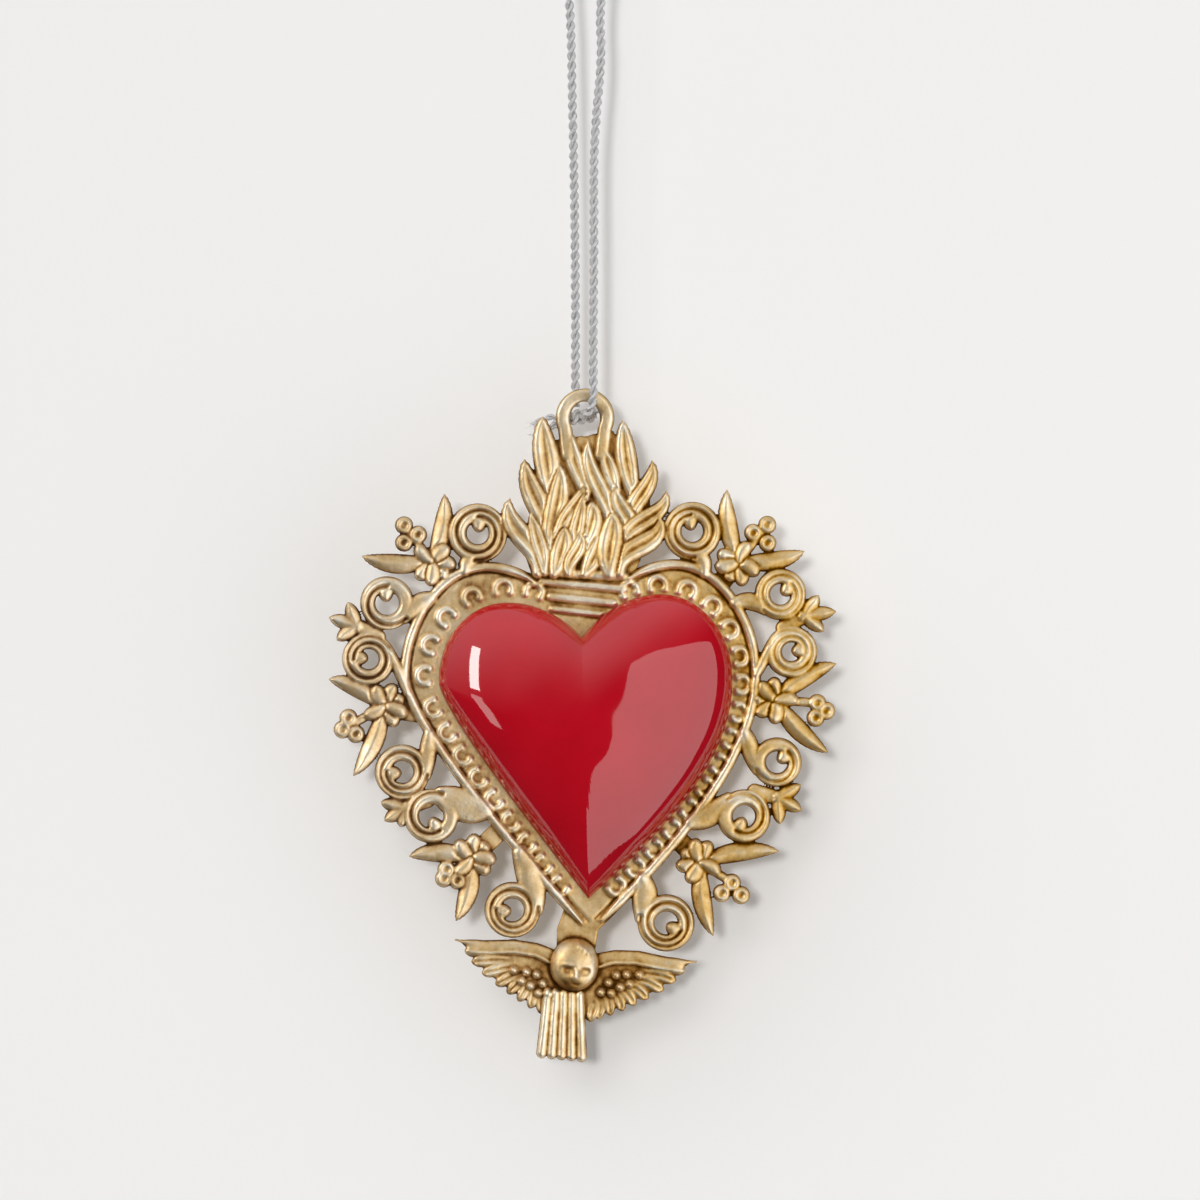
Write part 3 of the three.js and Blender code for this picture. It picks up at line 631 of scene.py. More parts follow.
def add_border(relief):
    relief.plate(BORDER_LOOP[::PLATE_STEP], wear_and_sheen=BAND_WEAR)
    for side, (count, inset) in CURLS.items():
        rim = clear_of_collar(outline(BORDER, side, -RIM_HALF_WIDTH))
        from_end = np.minimum(np.arange(len(rim)), np.arange(len(rim))[::-1])
        taper = np.minimum(1, RIM_TIP + RIM_TAPER * from_end)
        relief.ridge(widths(rim, RIM_HALF_WIDTH * taper), RIM_CREST, wear_and_sheen=BAND_WEAR)
        for share in np.linspace(FIRST_CURL, LAST_CURL, count):
            add_curl(relief, side, share, inset)
        line = clear_of_collar(outline(BORDER, side, -2 * RIM_HALF_WIDTH - RIM_LINE_GAP))
        relief.engrave(line, RIM_LINE_DEPTH, RIM_LINE_WIDTH)


def clear_of_collar(path):
    """The part of a path along the border that lies between the collar and the neck."""
    clear = (np.abs(path[:, 0]) > RIM_START) | (path[:, 1] < -HEART_DROP / 2)
    return path[clear & (path[:, 1] > RIM_END)][::RIM_STEP]


def add_curl(relief, side, share, inset):
    """One C-scroll that opens towards the heart, with a bead at each end."""
    at = outline(HEART, side, inset, [share])[0]
    inward = outline(HEART, side, 0, [share])[0] - at
    opening = math.degrees(math.atan2(inward[1], inward[0]))
    curl = arc(at, CURL_RADIUS, opening + CURL_OPENING, opening + 360 - CURL_OPENING, count=15)
    relief.ridge(widths(curl, CURL_HALF_WIDTH), CURL_CREST)
    for end in (curl[0], curl[-1]):
        relief.bead(end, CURL_END_RADIUS, CURL_CREST)


# Flame crest: base and tip of each tongue in shares of the crest's half-width and height, half-width, bow
TONGUES = [
    (-0.43, 0.706, -0.462, 1.003, 1.75, -0.3), (0.588, 0.716, 0.48, 0.985, 1.45, 0.35),
    (0, 0.7, -0.1, 0.916, 1.3, 0.3), (0.366, 0.7, 0.237, 0.869, 1.1, -0.1),
    (0.29, 0.569, 0.075, 0.898, 1.2, 0.25), (-0.43, 0.527, -0.674, 0.806, 1.6, 0.3),
    (-0.39, 0.484, -0.256, 0.782, 1.6, -0.5), (0.618, 0.561, 0.825, 0.8, 1.3, 0),
    (0.545, 0.5, 0.402, 0.685, 1.25, 0), (0.615, 0.46, 0.99, 0.661, 1.3, 0.1),
    (-0.222, 0.5, 0.028, 0.69, 1.1, 0.1), (0.062, 0.4, 0.102, 0.611, 1.5, -0.2),
    (-0.13, 0.3, 0.019, 0.648, 1.15, 0.2), (0.45, 0.29, 0.91, 0.55, 1.5, -0.2),
    (-0.52, 0.29, -0.85, 0.627, 1.55, 0.2), (-0.44, 0.29, -0.603, 0.561, 1.1, -0.2),
    (-0.33, 0.285, -0.206, 0.498, 1.45, -0.3), (-0.154, 0.284, -0.033, 0.474, 1.05, -0.2),
    (0.028, 0.284, 0.183, 0.455, 1.3, -0.5), (0.33, 0.285, 0.352, 0.563, 1.75, 0.1),
]
CREST_OUTLINE = [
    (-0.58, 0.27), (-0.7, 0.4), (-0.6, 0.56), (-0.49, 0.72), (-0.3, 0.9), (0.37, 0.94), (0.6, 0.71),
    (0.8, 0.63), (0.8, 0.5), (0.72, 0.38), (0.6, 0.27), (0.1, -0.01), (-0.1, -0.01),
]
# Rolls of the collar: both ends and half the thickness
COLLAR_ROLLS = [
    (-0.47, 0.292, 0.5, 0.272, 0.7), (-0.465, 0.251, 0.494, 0.214, 0.62),
    (-0.371, 0.18, 0.372, 0.151, 0.62), (-0.35, 0.1245, 0.238, 0.098, 0.5),
]
EYE_CENTRE = np.array([EYE_OFFSET, CREST_HEIGHT])


def on_crest(across, up):
    return np.array([across * CREST_HALF_WIDTH, up * CREST_HEIGHT])


def tongue_crest(share):
    return FLAME_CREST * (1 - FLAME_FALL * share)


def add_crest(relief):
    relief.plate([on_crest(*p) for p in CREST_OUTLINE], wear_and_sheen=CREST_PAINTED_SHEEN)
    for index, (from_across, from_up, to_across, to_up, half_width, bow) in enumerate(TONGUES):
        base, tip = on_crest(from_across, from_up), on_crest(to_across, to_up)
        if from_up > HIDDEN_ROOTS_ABOVE:
            base = base + TONGUE_ROOT * (base - tip)
        wave = TONGUE_WAVE if index % 2 else -TONGUE_WAVE
        sway = TONGUE_SWAY * (to_across - from_across) + wave
        path = leaf_path(base, tip, TONGUE_FULLNESS * half_width, bow, TONGUE_WIDEST, TONGUE_BLUNT, sway)
        relief.ridge(path, tongue_crest, covers=True, wear_and_sheen=TONGUE_PAINTED_SHEEN, slit=TONGUE_SLIT)
    for from_across, from_up, to_across, to_up, half_width in COLLAR_ROLLS:
        roll = np.array([on_crest(from_across, from_up), on_crest(to_across, to_up)])
        relief.ridge(widths(roll, half_width), COLLAR_CREST)
        relief.engrave(roll - (0, half_width + COLLAR_LINE_GAP), COLLAR_LINE_DEPTH, COLLAR_LINE_WIDTH)


def add_eye(relief):
    middle = (EYE_OUTER_RADIUS + EYE_HOLE_HALF_WIDTH) / 2
    half = (EYE_OUTER_RADIUS - EYE_HOLE_HALF_WIDTH) / 2
    right, left = [EYE_CENTRE + (side * EYE_LEG_SPREAD, -EYE_LEG_DROP) for side in (1, -1)]
    path = np.vstack([right, arc(EYE_CENTRE, middle, *EYE_ARCH, count=47), left])
    relief.ridge(widths(path, half), EYE_CREST, plump, wear_and_sheen=TONGUE_PAINTED_SHEEN)
    relief.pierce(EYE_CENTRE - (0, EYE_HOLE_DROP), EYE_HOLE_HALF_WIDTH, EYE_HOLE_HALF_HEIGHT)


# Volutes: bearing, distance beyond the border, radius, hole radius, angle where the tang leaves, inward
# turn (1 is counter-clockwise), angle of the inner point, bearing of the tang's end, its half-width, and
# wear of the coil
VOLUTES = [
    (116.8, 4.8, 4.39, 1.72, -95, 1, 90, 124.4, 1.3, 0.2),
    (144.3, 4.5, 3.95, 1.85, -40, -1, 90, 136.3, 1.6, 0.1),
    (158.3, 5.0, 3.9, 1.58, 28, 1, 180, 163.5, 0.9, 0.1),
    (188.4, 6.6, 4.05, 1.72, -8, -1, 180, 175.9, 1.4, 0.2),
    (204.8, 6.4, 4.0, 1.9, 62, 1, -60, 213, 2.6, 0.1),
    (246.3, 6.4, 4.12, 1.8, 5, -1, 180, 239, 2.1, 0.3),
    (63.3, 4.7, 4.31, 1.68, -85, -1, 95, 55.1, 1.3, 0.4),
    (37.6, 5.9, 3.8, 1.62, 224, 1, 45, 43.4, 1.4, 1),
    (24.3, 5.0, 3.85, 1.47, 158, -1, 0, 22.4, 0.9, 1),
    (-5.1, 5.9, 3.65, 1.7, 200, 1, 45, 4.6, 1.5, 0.7),
    (-24.1, 5.3, 3.95, 1.75, 134, -1, 240, -36, 1.9, 0.7),
    (-65.4, 6.9, 4.2, 1.8, 167, 1, -30, -66.7, 2, 0.2),
]


def add_volute(relief, bearing, beyond, radius, hole, leave, turn, point, tang_bearing, tang_half_width,
               wear):
    centre = beside(bearing, beyond)
    ring = arc(centre, (radius + hole) / 2, 0, 360, count=61)
    relief.ridge(widths(ring, (radius - hole) / 2 + VOLUTE_OVERLAP), VOLUTE_CREST, plump)

    sweep = turn * (((point - leave) * turn - COIL_LEAST_TURN) % 360 + COIL_LEAST_TURN)
    share = np.linspace(0, 1, int(abs(sweep) / COIL_STEP))
    reach = hole + (radius - hole) * (COIL_INNER + COIL_SPAN * (1 - share) ** COIL_CLOSING)
    coil = np.array([polar(centre, leave + sweep * s, r) for s, r in zip(share, reach)])
    relief.engrave(coil, COIL_DEPTH - COIL_WORN_BY * wear, COIL_WIDTH)

    start = polar(centre, leave, radius - SCROLL_HALF_WIDTH)
    end = beside(tang_bearing, -RIM_HALF_WIDTH)
    bend = polar(start, leave - turn * 90, TANG_BEND * np.linalg.norm(end - start))
    swell = np.sin(np.linspace(0.15, 0.85, TANG_POINTS) * np.pi)
    half_widths = SCROLL_HALF_WIDTH + (tang_half_width - SCROLL_HALF_WIDTH) * swell
    relief.ridge(widths(bezier([start, bend, end], TANG_POINTS), half_widths), VOLUTE_CREST)

    root = polar(centre, point, hole + CUSP_ROOT)
    tip = polar(centre, point, CUSP_REACH * hole)
    relief.ridge(leaf_path(root, tip, CUSP_HALF_WIDTH, CUSP_BOW * turn, CUSP_WIDEST), VOLUTE_CREST)


# Leaf sprays: bearing, distance beyond the border, axis, half-angle between the leaves, their two lengths,
# and the berries by distance from the bud and angle from the axis
SPRAYS = [
    (129.8, 2.9, 127.5, 48, 10.2, 10.4, ((6.9, 0), (4.6, -10), (5.1, 18))),
    (169, 4.1, 200, 46, 9.2, 11.3, ((7.2, 9), (5.7, -2), (6, 24))),
    (225.1, 5.4, 217, 38.7, 9.3, 9.6, ((5.2, -1), (4, 20), (4.2, -13))),
    (50, 3.6, 54, 45, 9.9, 10.8, ((7.05, -2), (4.9, 9), (5.2, -21))),
    (13.3, 2.7, -7, 38, 11, 10.5, ((6.3, 3), (7.8, -5), (6.6, -17))),
    (-45.4, 4.1, -36, 44, 11.1, 11.8, ((5.7, 3), (7.9, -3), (5.7, -19))),
]
# Petals of a spray's flower: angle from the axis, length and half-width
PETALS = [
    (180, 2.9, 1.2), (95, 3.1, 1.25), (-138, 3.4, 1.2), (-88, 3.2, 1.3), (136, 3.3, 1.25), (4, 3.2, 1.15),
]


def add_spray(relief, bearing, beyond, axis, spread, clockwise_length, other_length, berries):
    bud = beside(bearing, beyond)

    def leaf(angle, start, length, half_width, *shape):
        return leaf_path(polar(bud, angle, start), polar(bud, angle, length), half_width, *shape)

    for side, length in ((-1, clockwise_length), (1, other_length)):
        path = leaf(axis + side * spread, LEAF_START, length, LEAF_HALF_WIDTH, LEAF_BOW * side, LEAF_WIDEST,
                    LEAF_BLUNT)
        relief.ridge(path, LEAF_CREST, keeled)
    web = np.array([polar(bud, axis, WEB_START), beside(bearing, -WEB_LAP)])
    relief.ridge(widths(web, WEB_HALF_WIDTH), WEB_CREST)
    distance, angle = berries[0]
    stem = np.array([bud, polar(bud, axis + angle, distance)])
    relief.ridge(widths(stem, STEM_HALF_WIDTH), STEM_CREST)
    relief.bead(bud, BUD_RADIUS, BUD_CREST, plump)
    for angle, length, half_width in PETALS:
        petal = leaf(axis + angle, PETAL_START, length, half_width, PETAL_BOW, PETAL_WIDEST)
        relief.ridge(petal, PETAL_CREST, covers=True)
    for distance, angle in berries:
        relief.bead(polar(bud, axis + angle, distance), BERRY_RADIUS, BERRY_CREST, cupped)


# Trefoil sprigs: bearing, distance beyond the border, axis, angle between leaflets, and the leaflets'
# lengths, clockwise first
SPRIGS = [
    (152.4, 7.7, 163, 53, (3.65, 4.2, 3.55)), (199.3, 9.1, 212, 46, (3.6, 3.5, 2.75)),
    (30.5, 8.1, 8, 46, (3.65, 4.7, 3.65)), (-15.3, 8.4, -28, 58, (3.85, 3.9, 3.85)),
]


def add_sprig(relief, bearing, beyond, axis, spread, lengths):
    base = beside(bearing, beyond)
    stem = np.array([base, beside(bearing, beyond - SPRIG_STEM)])
    relief.ridge(widths(stem, SPRIG_STEM_HALF_WIDTH), STEM_CREST)
    for angle, length in zip((-spread, 0, spread), lengths):
        root = polar(base, axis + angle + 180, LEAF_START)
        tip = polar(base, axis + angle, length)
        relief.ridge(leaf_path(root, tip, LEAFLET_HALF_WIDTH, 0, LEAFLET_WIDEST), LEAF_CREST, keeled)


# Winged head: feathers, plate and dots of the right wing, across in wing spans and up in mm
FEATHER_TIPS = [
    (1, 2.1), (0.91, 0.65), (0.845, -0.9), (0.75, -2.5), (0.63, -4), (0.53, -5.1), (0.435, -6.1),
    (0.335, -7), (0.24, -7.7), (0.17, -8.2),
]
WING_TOP = [(0, -7.4), (0, 1.0), (0.1, 1.5), (0.21, 1.9), (0.37, 2.75), (0.54, 2.9), (0.72, 2.4), (0.85, 1.9)]
WING_DOTS = [
    (0.52, -1.1), (0.414, -1.2), (0.328, -1.45), (0.447, -2.6), (0.37, -3.2), (0.27, -2.7), (0.3, -4.2),
    (0.215, -4.2),
]
WING_LINE = [(0.2, 0), (0.33, 0.9), (0.5, 1.1), (0.7, 0.7), (0.9, 0.6)]
WING_BAND = [(0.15, 0.9), (0.33, 1.8), (0.52, 2.0), (0.7, 1.6), (0.86, 1.3)]
WING_SHOULDER = (0.22, 0.4)
HEAD_CENTRE = HEART_POINT + (HEAD_OFFSET, -HEAD_DROP)


def on_head(x, z):
    return turned([HEAD_CENTRE + (x, z)], HEAD_CENTRE, HEAD_LEAN)[0]


def barb_crest(share):
    return FEATHER_CREST * (BARB_ROOT + (1 - BARB_ROOT) * share)


def add_feather(relief, tip, heading, length, side):
    """A short plate with two raised barbs on it; heading points from the tip to the shoulder."""
    vane = leaf_path(tip + FEATHER_LENGTH * heading, tip, FEATHER_HALF_WIDTH, 0, widest=0.4)
    relief.ridge(vane, FEATHER_PLATE, plump)
    across = FEATHER_SPACING * np.array([-heading[1], heading[0]])
    for offset in (-1, 1):
        barb = tip + BARB_START * heading + offset * across
        path = leaf_path(barb + length * heading, barb, BARB_HALF_WIDTH, BARB_BOW * side, widest=0.7)
        relief.ridge(path, barb_crest)


def add_wing(relief, side):
    def place(across, up):
        return on_head(side * across * WING_SPAN, up)

    def placed(points):
        return np.array([place(*p) for p in points])

    shoulder = place(*WING_SHOULDER)
    tips = placed(FEATHER_TIPS)
    inward = (shoulder - tips) / np.linalg.norm(shoulder - tips, axis=1)[:, None]
    relief.plate(np.vstack([placed(WING_TOP), tips + WING_INSET * inward]))
    root = tips[0] + FIRST_FEATHER_LENGTH * inward[0]
    first = leaf_path(root, tips[0], FIRST_FEATHER_HALF_WIDTH, 0, widest=0.3, blunt=1.2)
    relief.ridge(first, FIRST_FEATHER_CREST)
    lengths = np.geomspace(LONGEST_BARB, SHORTEST_BARB, len(tips))
    for tip, heading, length in list(zip(tips, inward, lengths))[1:]:
        add_feather(relief, tip, heading, length, side)
    relief.ridge(widths(placed(WING_BAND), WING_BAND_HALF_WIDTH), WING_BAND_CREST)
    relief.ridge(widths(placed(WING_LINE), WING_LINE_HALF_WIDTH), WING_LINE_CREST)
    for across, up in WING_DOTS:
        at = place(across + DOT_SHIFT_ACROSS * side, up + DOT_SHIFT_UP * side)
        relief.bead(at, DOT_RADIUS, DOT_CREST)


def add_tail(relief):
    for i in range(TAIL_RIBS):
        step = i - (TAIL_RIBS - 1) / 2
        top = on_head(RIB_TOP[0] + RIB_TOP[1] * step, TAIL_TOP + TAIL_LAP)
        foot = on_head(RIB_FOOT[0] + RIB_FOOT[1] * step, TAIL_TOP - TAIL_LENGTH + RIB_END)
        rib = widths(bezier([top, foot], RIB_POINTS), np.linspace(*RIB_HALF_WIDTHS, RIB_POINTS))
        relief.ridge(rib, TAIL_CREST, wear_and_sheen=TAIL_PAINTED_SHEEN)


# Face: bumps and hollows at x, z from the middle of the head, with their spread and height
FACE_FORMS = [
    (-0.95, -0.75, 0.6, 0.5, -0.8), (1.75, -0.8, 0.55, 0.5, -0.8), (-0.95, -0.8, 0.32, 0.26, 0.6),
    (1.75, -0.85, 0.3, 0.26, 0.6), (-1.0, -0.05, 0.6, 0.22, 0.25), (1.75, -0.1, 0.55, 0.22, 0.25),
    (0.45, -1.25, 0.28, 0.8, 0.5), (0.5, -1.8, 0.4, 0.3, 0.35), (0.45, -2.75, 0.55, 0.18, -0.35),
    (0.6, 3.0, 0.3, 0.5, 0.3), (1.3, 2.6, 0.3, 0.5, 0.3), (2.0, 2.1, 0.3, 0.5, 0.3),
]


def add_head(relief):
    part, places = relief.window([HEAD_CENTRE], HEAD_ROOM)
    local = turned(places.reshape(-1, 2), HEAD_CENTRE, -HEAD_LEAN).reshape(places.shape) - HEAD_CENTRE
    x, z = local[..., 0], local[..., 1]
    reach = np.hypot(x / HEAD_HALF_WIDTH, z / HEAD_HALF_HEIGHT)
    height = HEAD_CREST * np.sqrt(np.clip(1 - reach ** HEAD_FLATNESS, 0, 1))
    face = np.zeros_like(height)
    for at_x, at_z, wide, tall, rise in FACE_FORMS:
        face += rise * np.exp(-((x - at_x) / wide) ** 2 - ((z - at_z) / tall) ** 2)
    relief.raise_to(part, (1 - reach) * HEAD_HALF_WIDTH, height + np.where(reach < 1, FACE_DEPTH * face, 0))
    # painted shade on the lower head below the chin; tarnish in the hair and patina in the face's hollows
    painted_shade_under_chin = np.clip((-z - CHIN_SHADE_BELOW) / SHADE_SPAN, 0, 1)
    in_hair = np.clip((z - HAIR_SHADE_ABOVE) / SHADE_SPAN, 0, 1)
    tarnish_and_painted_light = HEAD_TARNISH + SHADE_TARNISH * (painted_shade_under_chin + in_hair) - FACE_TARNISH * face
    relief.tarnish_and_painted_light[part] += np.where(reach < 1, tarnish_and_painted_light, 0)


def add_neck(relief):
    x, top = HEART_POINT
    low = top - NECK_DROP
    foot = NECK_FOOT * HEAD_HALF_WIDTH
    relief.plate([
        (x - NECK_HALF_WIDTH, top), (x - NECK_HALF_WIDTH - NECK_SHIFT, low), on_head(-foot, 0),
        on_head(foot, 0), (x + NECK_HALF_WIDTH - NECK_SHIFT, low), (x + NECK_HALF_WIDTH, top),
    ], wear_and_sheen=BAND_WEAR)


# The stamping

def drawn_relief():
    relief = Relief()
    add_neck(relief)
    add_tail(relief)
    for side in (-1, 1):
        add_wing(relief, side)
    add_head(relief)
    for row in SPRAYS:
        add_spray(relief, *row)
    for row in SPRIGS:
        add_sprig(relief, *row)
    for row in VOLUTES:
        add_volute(relief, *row)
    add_crest(relief)
    add_border(relief)
    add_eye(relief)
    relief.cut_lines()
    return relief


def blurred(field, radius):
    """Field softened over a radius in millimetres."""
    reach = int(3 * radius / GRID) + 1
    taps = np.exp(-0.5 * (np.arange(-reach, reach + 1) * GRID / radius) ** 2)
    taps /= taps.sum()
    for axis in (0, 1):
        padded = np.pad(field, [(reach, reach) if a == axis else (0, 0) for a in (0, 1)], mode="edge")
        size = field.shape[axis]
        field = sum(w * np.take(padded, range(i, i + size), axis=axis) for i, w in enumerate(taps))
    return field


def raise_heart(relief):
    """The hollow dome under the enamel, on top of the drawn relief."""
    places = np.stack(np.meshgrid(relief.x, relief.z), axis=-1)
    edge = dome_share(places, -ENAMEL_GAP)
    dome = DOME_RISE * dome_fullness(dome_share(places, ENAMEL_THICKNESS + ENAMEL_GAP))
    return np.where(edge < 1, dome, relief.height)


def snapped(relief, places, outer):
    """Places just outside the cut edge, moved onto it."""
    slope_z, slope_x = np.gradient(relief.inside, GRID)
    steep = np.maximum(slope_x ** 2 + slope_z ** 2, LEAST_SLOPE)
    moved = places.copy()
    moved[..., 0] -= np.where(outer, relief.inside * slope_x / steep, 0)
    moved[..., 1] -= np.where(outer, relief.inside * slope_z / steep, 0)
    return moved


def mesh_object(name, points, faces, material):
    mesh = bpy.data.meshes.new(name)
    mesh.from_pydata(np.asarray(points).tolist(), [], faces)
    mesh.polygons.foreach_set("use_smooth", [True] * len(mesh.polygons))
    mesh.materials.append(material)
    obj = bpy.data.objects.new(name, mesh)
    bpy.context.scene.collection.objects.link(obj)
    return obj


def float_attribute(obj, name, values):
    attribute = obj.data.attributes.new(name, "FLOAT", "POINT")
    attribute.data.foreach_set("value", np.asarray(values, np.float32))


def in_part(x, depth, z):
    """Places of the drawing, in metres, in the frame of the part."""
    return np.column_stack([x + NOTCH_X, depth, z + NOTCH_Z]) * MM


def dents(relief):
    """Slight waves of sheet that was pressed by hand."""
    x, z = np.meshgrid(relief.x, relief.z)
    return DENT_DEPTH * np.sin(0.8 * x + 1.5 * np.sin(0.45 * z)) * np.sin(0.7 * z + 1.2 * np.sin(0.5 * x + 1))


def cavity_of(relief):
    """How far each place stands out of what is round it: low in recesses, tarnish and painted shade, high
    with wear and painted sheen.
    """
    low_relief = np.minimum(relief.height, CAVITY_TOP)
    cavity = sum(weight * blurred(low_relief, radius) for radius, weight in CAVITY_BLURS)
    cavity = np.minimum(cavity, CAVITY_LIMIT) - relief.tarnish_and_painted_light
    # darker along the cut edge
    return cavity - EDGE_DARKENING * np.exp(-np.maximum(relief.inside, 0) / EDGE_REACH)


def make_stamping(material):
    relief = drawn_relief()
    raised = raise_heart(relief)
    front = blurred(raised, FRONT_BLUR) + dents(relief)
    back = blurred(raised, BACK_BLUR)
    solid = relief.inside > 0
    cells = solid[:-1, :-1] | solid[1:, :-1] | solid[:-1, 1:] | solid[1:, 1:]
    used = np.zeros_like(solid)
    for rows, columns in ((0, 0), (0, 1), (1, 0), (1, 1)):
        used[rows:rows + cells.shape[0], columns:columns + cells.shape[1]] |= cells
    grid = np.stack(np.meshgrid(relief.x, relief.z), axis=-1)
    places = snapped(relief, grid, used & ~solid)
    index = np.cumsum(used).reshape(used.shape) - 1
    count = int(used.sum())

    worn_edge = EDGE_ROUNDING * np.clip(1 - relief.inside / EDGE_REACH, 0, 1) ** 2
    x, z = places[used].T
    front_depth = -(SHEET + front[used] - worn_edge[used])
    back_depth = -np.maximum(back[used], 0)
    points = np.vstack([in_part(x, front_depth, z), in_part(x, back_depth, z)])

    row, column = np.nonzero(cells)
    corners = np.column_stack([index[row, column], index[row, column + 1],
                               index[row + 1, column + 1], index[row + 1, column]])
    faces = corners.tolist() + (corners[:, ::-1] + count).tolist()

    edge_pairs = []
    framed = np.pad(cells, 1)
    for first, step in enumerate(((-1, 0), (0, 1), (1, 0), (0, -1))):
        open_side = ~framed[row + 1 + step[0], column + 1 + step[1]]
        edge_pairs.append(corners[open_side][:, [first, (first + 1) % 4]])
    edges = np.vstack(edge_pairs)
    wall_start = len(points)
    points = np.vstack([points, points[edges[:, 0]], points[edges[:, 1]],
                        points[edges[:, 1] + count], points[edges[:, 0] + count]])
    n = len(edges)
    walls = wall_start + np.arange(n)[:, None] + np.array([0, 3, 2, 1]) * n
    obj = mesh_object("stamping", points, faces + walls.tolist(), material)

    cavity = cavity_of(relief)[used]
    wall_values = np.full(4 * n, CUT_EDGE_CAVITY)
    float_attribute(obj, "cavity", np.concatenate([cavity, BACK_CAVITY * cavity, wall_values]))
    return obj


# Enamel: rings from the middle to the edge on the outside, and back on the inside

def make_enamel(material):
    loop = loop_of(HEART)
    out = loop - HEART_CENTRE
    bearing = np.arctan2(out[:, 1], out[:, 0])
    sharp = np.linalg.norm(out, axis=1)
    soft = soft_reach(bearing)
    shares = np.sin(np.linspace(0, 1, ENAMEL_RINGS) * np.pi / 2) ** RING_SPACING
    rings = []
    for thickness, side_shares in ((0.0, shares), (COAT, shares[::-1])):
        scale = 1 - thickness / RIGHT_HALF_WIDTH
        rise = DOME_RISE + ENAMEL_THICKNESS + ENAMEL_GAP - thickness
        for share in side_shares:
            reach = ring_reach(sharp, soft, share) * share * scale
            x = HEART_CENTRE[0] + reach * np.cos(bearing)
            z = HEART_CENTRE[1] + reach * np.sin(bearing)
            waves = COAT_WAVES * np.sin(0.62 * x + 1.3) * np.sin(0.5 * z + 0.4) * (1 - share ** 4)
            height = SHEET + rise * dome_fullness(share) + waves
            rings.append(in_part(x, -height, z))
    count = len(loop)
    points = np.vstack(rings)
    first = np.arange(len(rings) - 1)[:, None] * count
    here = first + np.arange(count)
    beside_it = first + (np.arange(count) + 1) % count
    quads = np.stack([here, here + count, beside_it + count, beside_it], axis=-1).reshape(-1, 4)
    return mesh_object("enamel", points, quads.tolist(), material)


# Cord

SPAN_POINTS = 40  # points of a spline between two points of its route
ASIDE = (0.3, 1, 0.1)  # a direction that no path starts along


def spline(points, step):
    """Smooth evenly spaced points through a route."""
    points = np.asarray(points, float)
    knots = np.concatenate([[0], np.cumsum(np.sqrt(np.linalg.norm(np.diff(points, axis=0), axis=1)))])
    slopes = np.gradient(points, knots, axis=0)
    t = np.linspace(0, 1, SPAN_POINTS, endpoint=False)[:, None]
    dense = []
    for i in range(len(points) - 1):
        span = knots[i + 1] - knots[i]
        dense.append((2 * t ** 3 - 3 * t ** 2 + 1) * points[i] + (t ** 3 - 2 * t ** 2 + t) * span * slopes[i]
                     + (3 * t ** 2 - 2 * t ** 3) * points[i + 1] + (t ** 3 - t ** 2) * span * slopes[i + 1])
    dense = np.vstack(dense + [points[-1:]])
    return evenly(dense, max(3, int(lengths_along(dense)[-1] / step)))


def carried_frames(path):
    """Two directions across a path at each point that turn as little as possible along it."""
    along = directions(path)
    start = np.cross(along[0], ASIDE)
    normals = [start / np.linalg.norm(start)]
    for direction in along[1:]:
        normal = normals[-1] - direction * (normals[-1] @ direction)
        normals.append(normal / np.linalg.norm(normal))
    normals = np.array(normals)
    return normals, np.cross(along, normals)


def ring_skin(rings, first):
    """Faces of closed rings joined in order, with both ends closed."""
    count = len(rings[0])
    faces = []
    for r in range(len(rings) - 1):
        for k in range(count):
            a = first + r * count + k
            b = first + r * count + (k + 1) % count
            faces.append((a, b, b + count, a + count))
    faces.append(tuple(first + k for k in range(count))[::-1])
    faces.append(tuple(first + (len(rings) - 1) * count + k for k in range(count)))
    return faces


def twisted_plies(path, diameter, plies=2, sides=10):
    """Points, faces and yarn angles of plies twisted round each other along a path."""
    normals, binormals = carried_frames(path)

    def across(angle):
        return np.cos(angle)[:, None] * normals + np.sin(angle)[:, None] * binormals

    length = lengths_along(path)
    lay = PLY_LAY * diameter
    half = diameter / 2 - lay
    points, faces, yarn = [], [], []
    for ply in range(plies):
        turn = 2 * np.pi * (length / TWIST_PITCH + ply / plies)
        centre = path + lay * across(turn)
        rings = np.stack([centre + half * across(turn + 2 * np.pi * k / sides) for k in range(sides)], axis=1)
        faces += ring_skin(rings, sum(len(p) for p in points))
        points.append(rings.reshape(-1, 3))
        yarn.append((length[:, None] * YARN_ALONG + np.arange(sides) / sides * YARN_ROUND).reshape(-1))
    return np.vstack(points), faces, np.concatenate(yarn)


def make_cord(material):
    path = spline(BACK_LEG_ROUTE + LOOP_ROUTE + EYE_TURN_ROUTE, CORD_STEP)
    points, faces, yarn = twisted_plies(path, CORD_DIAMETER)
    obj = mesh_object("cord", points * MM, faces, material)
    float_attribute(obj, "yarn", yarn)
    return obj, [tuple(p) for p in path[::PATH_STEP] * MM]


def hair(path):
    """A thin three-sided strand along a path, with no yarn angle."""
    normals, binormals = carried_frames(path)
    taper = np.linspace(1, HAIR_TIP, len(path))[:, None] * HAIR_RADIUS
    rings = [path + taper * (math.cos(a) * normals + math.sin(a) * binormals) for a in HAIR_CORNERS]
    rings = np.stack(rings, axis=1)
    points = rings.reshape(-1, 3)
    return points, ring_skin(rings, 0), np.zeros(len(points))


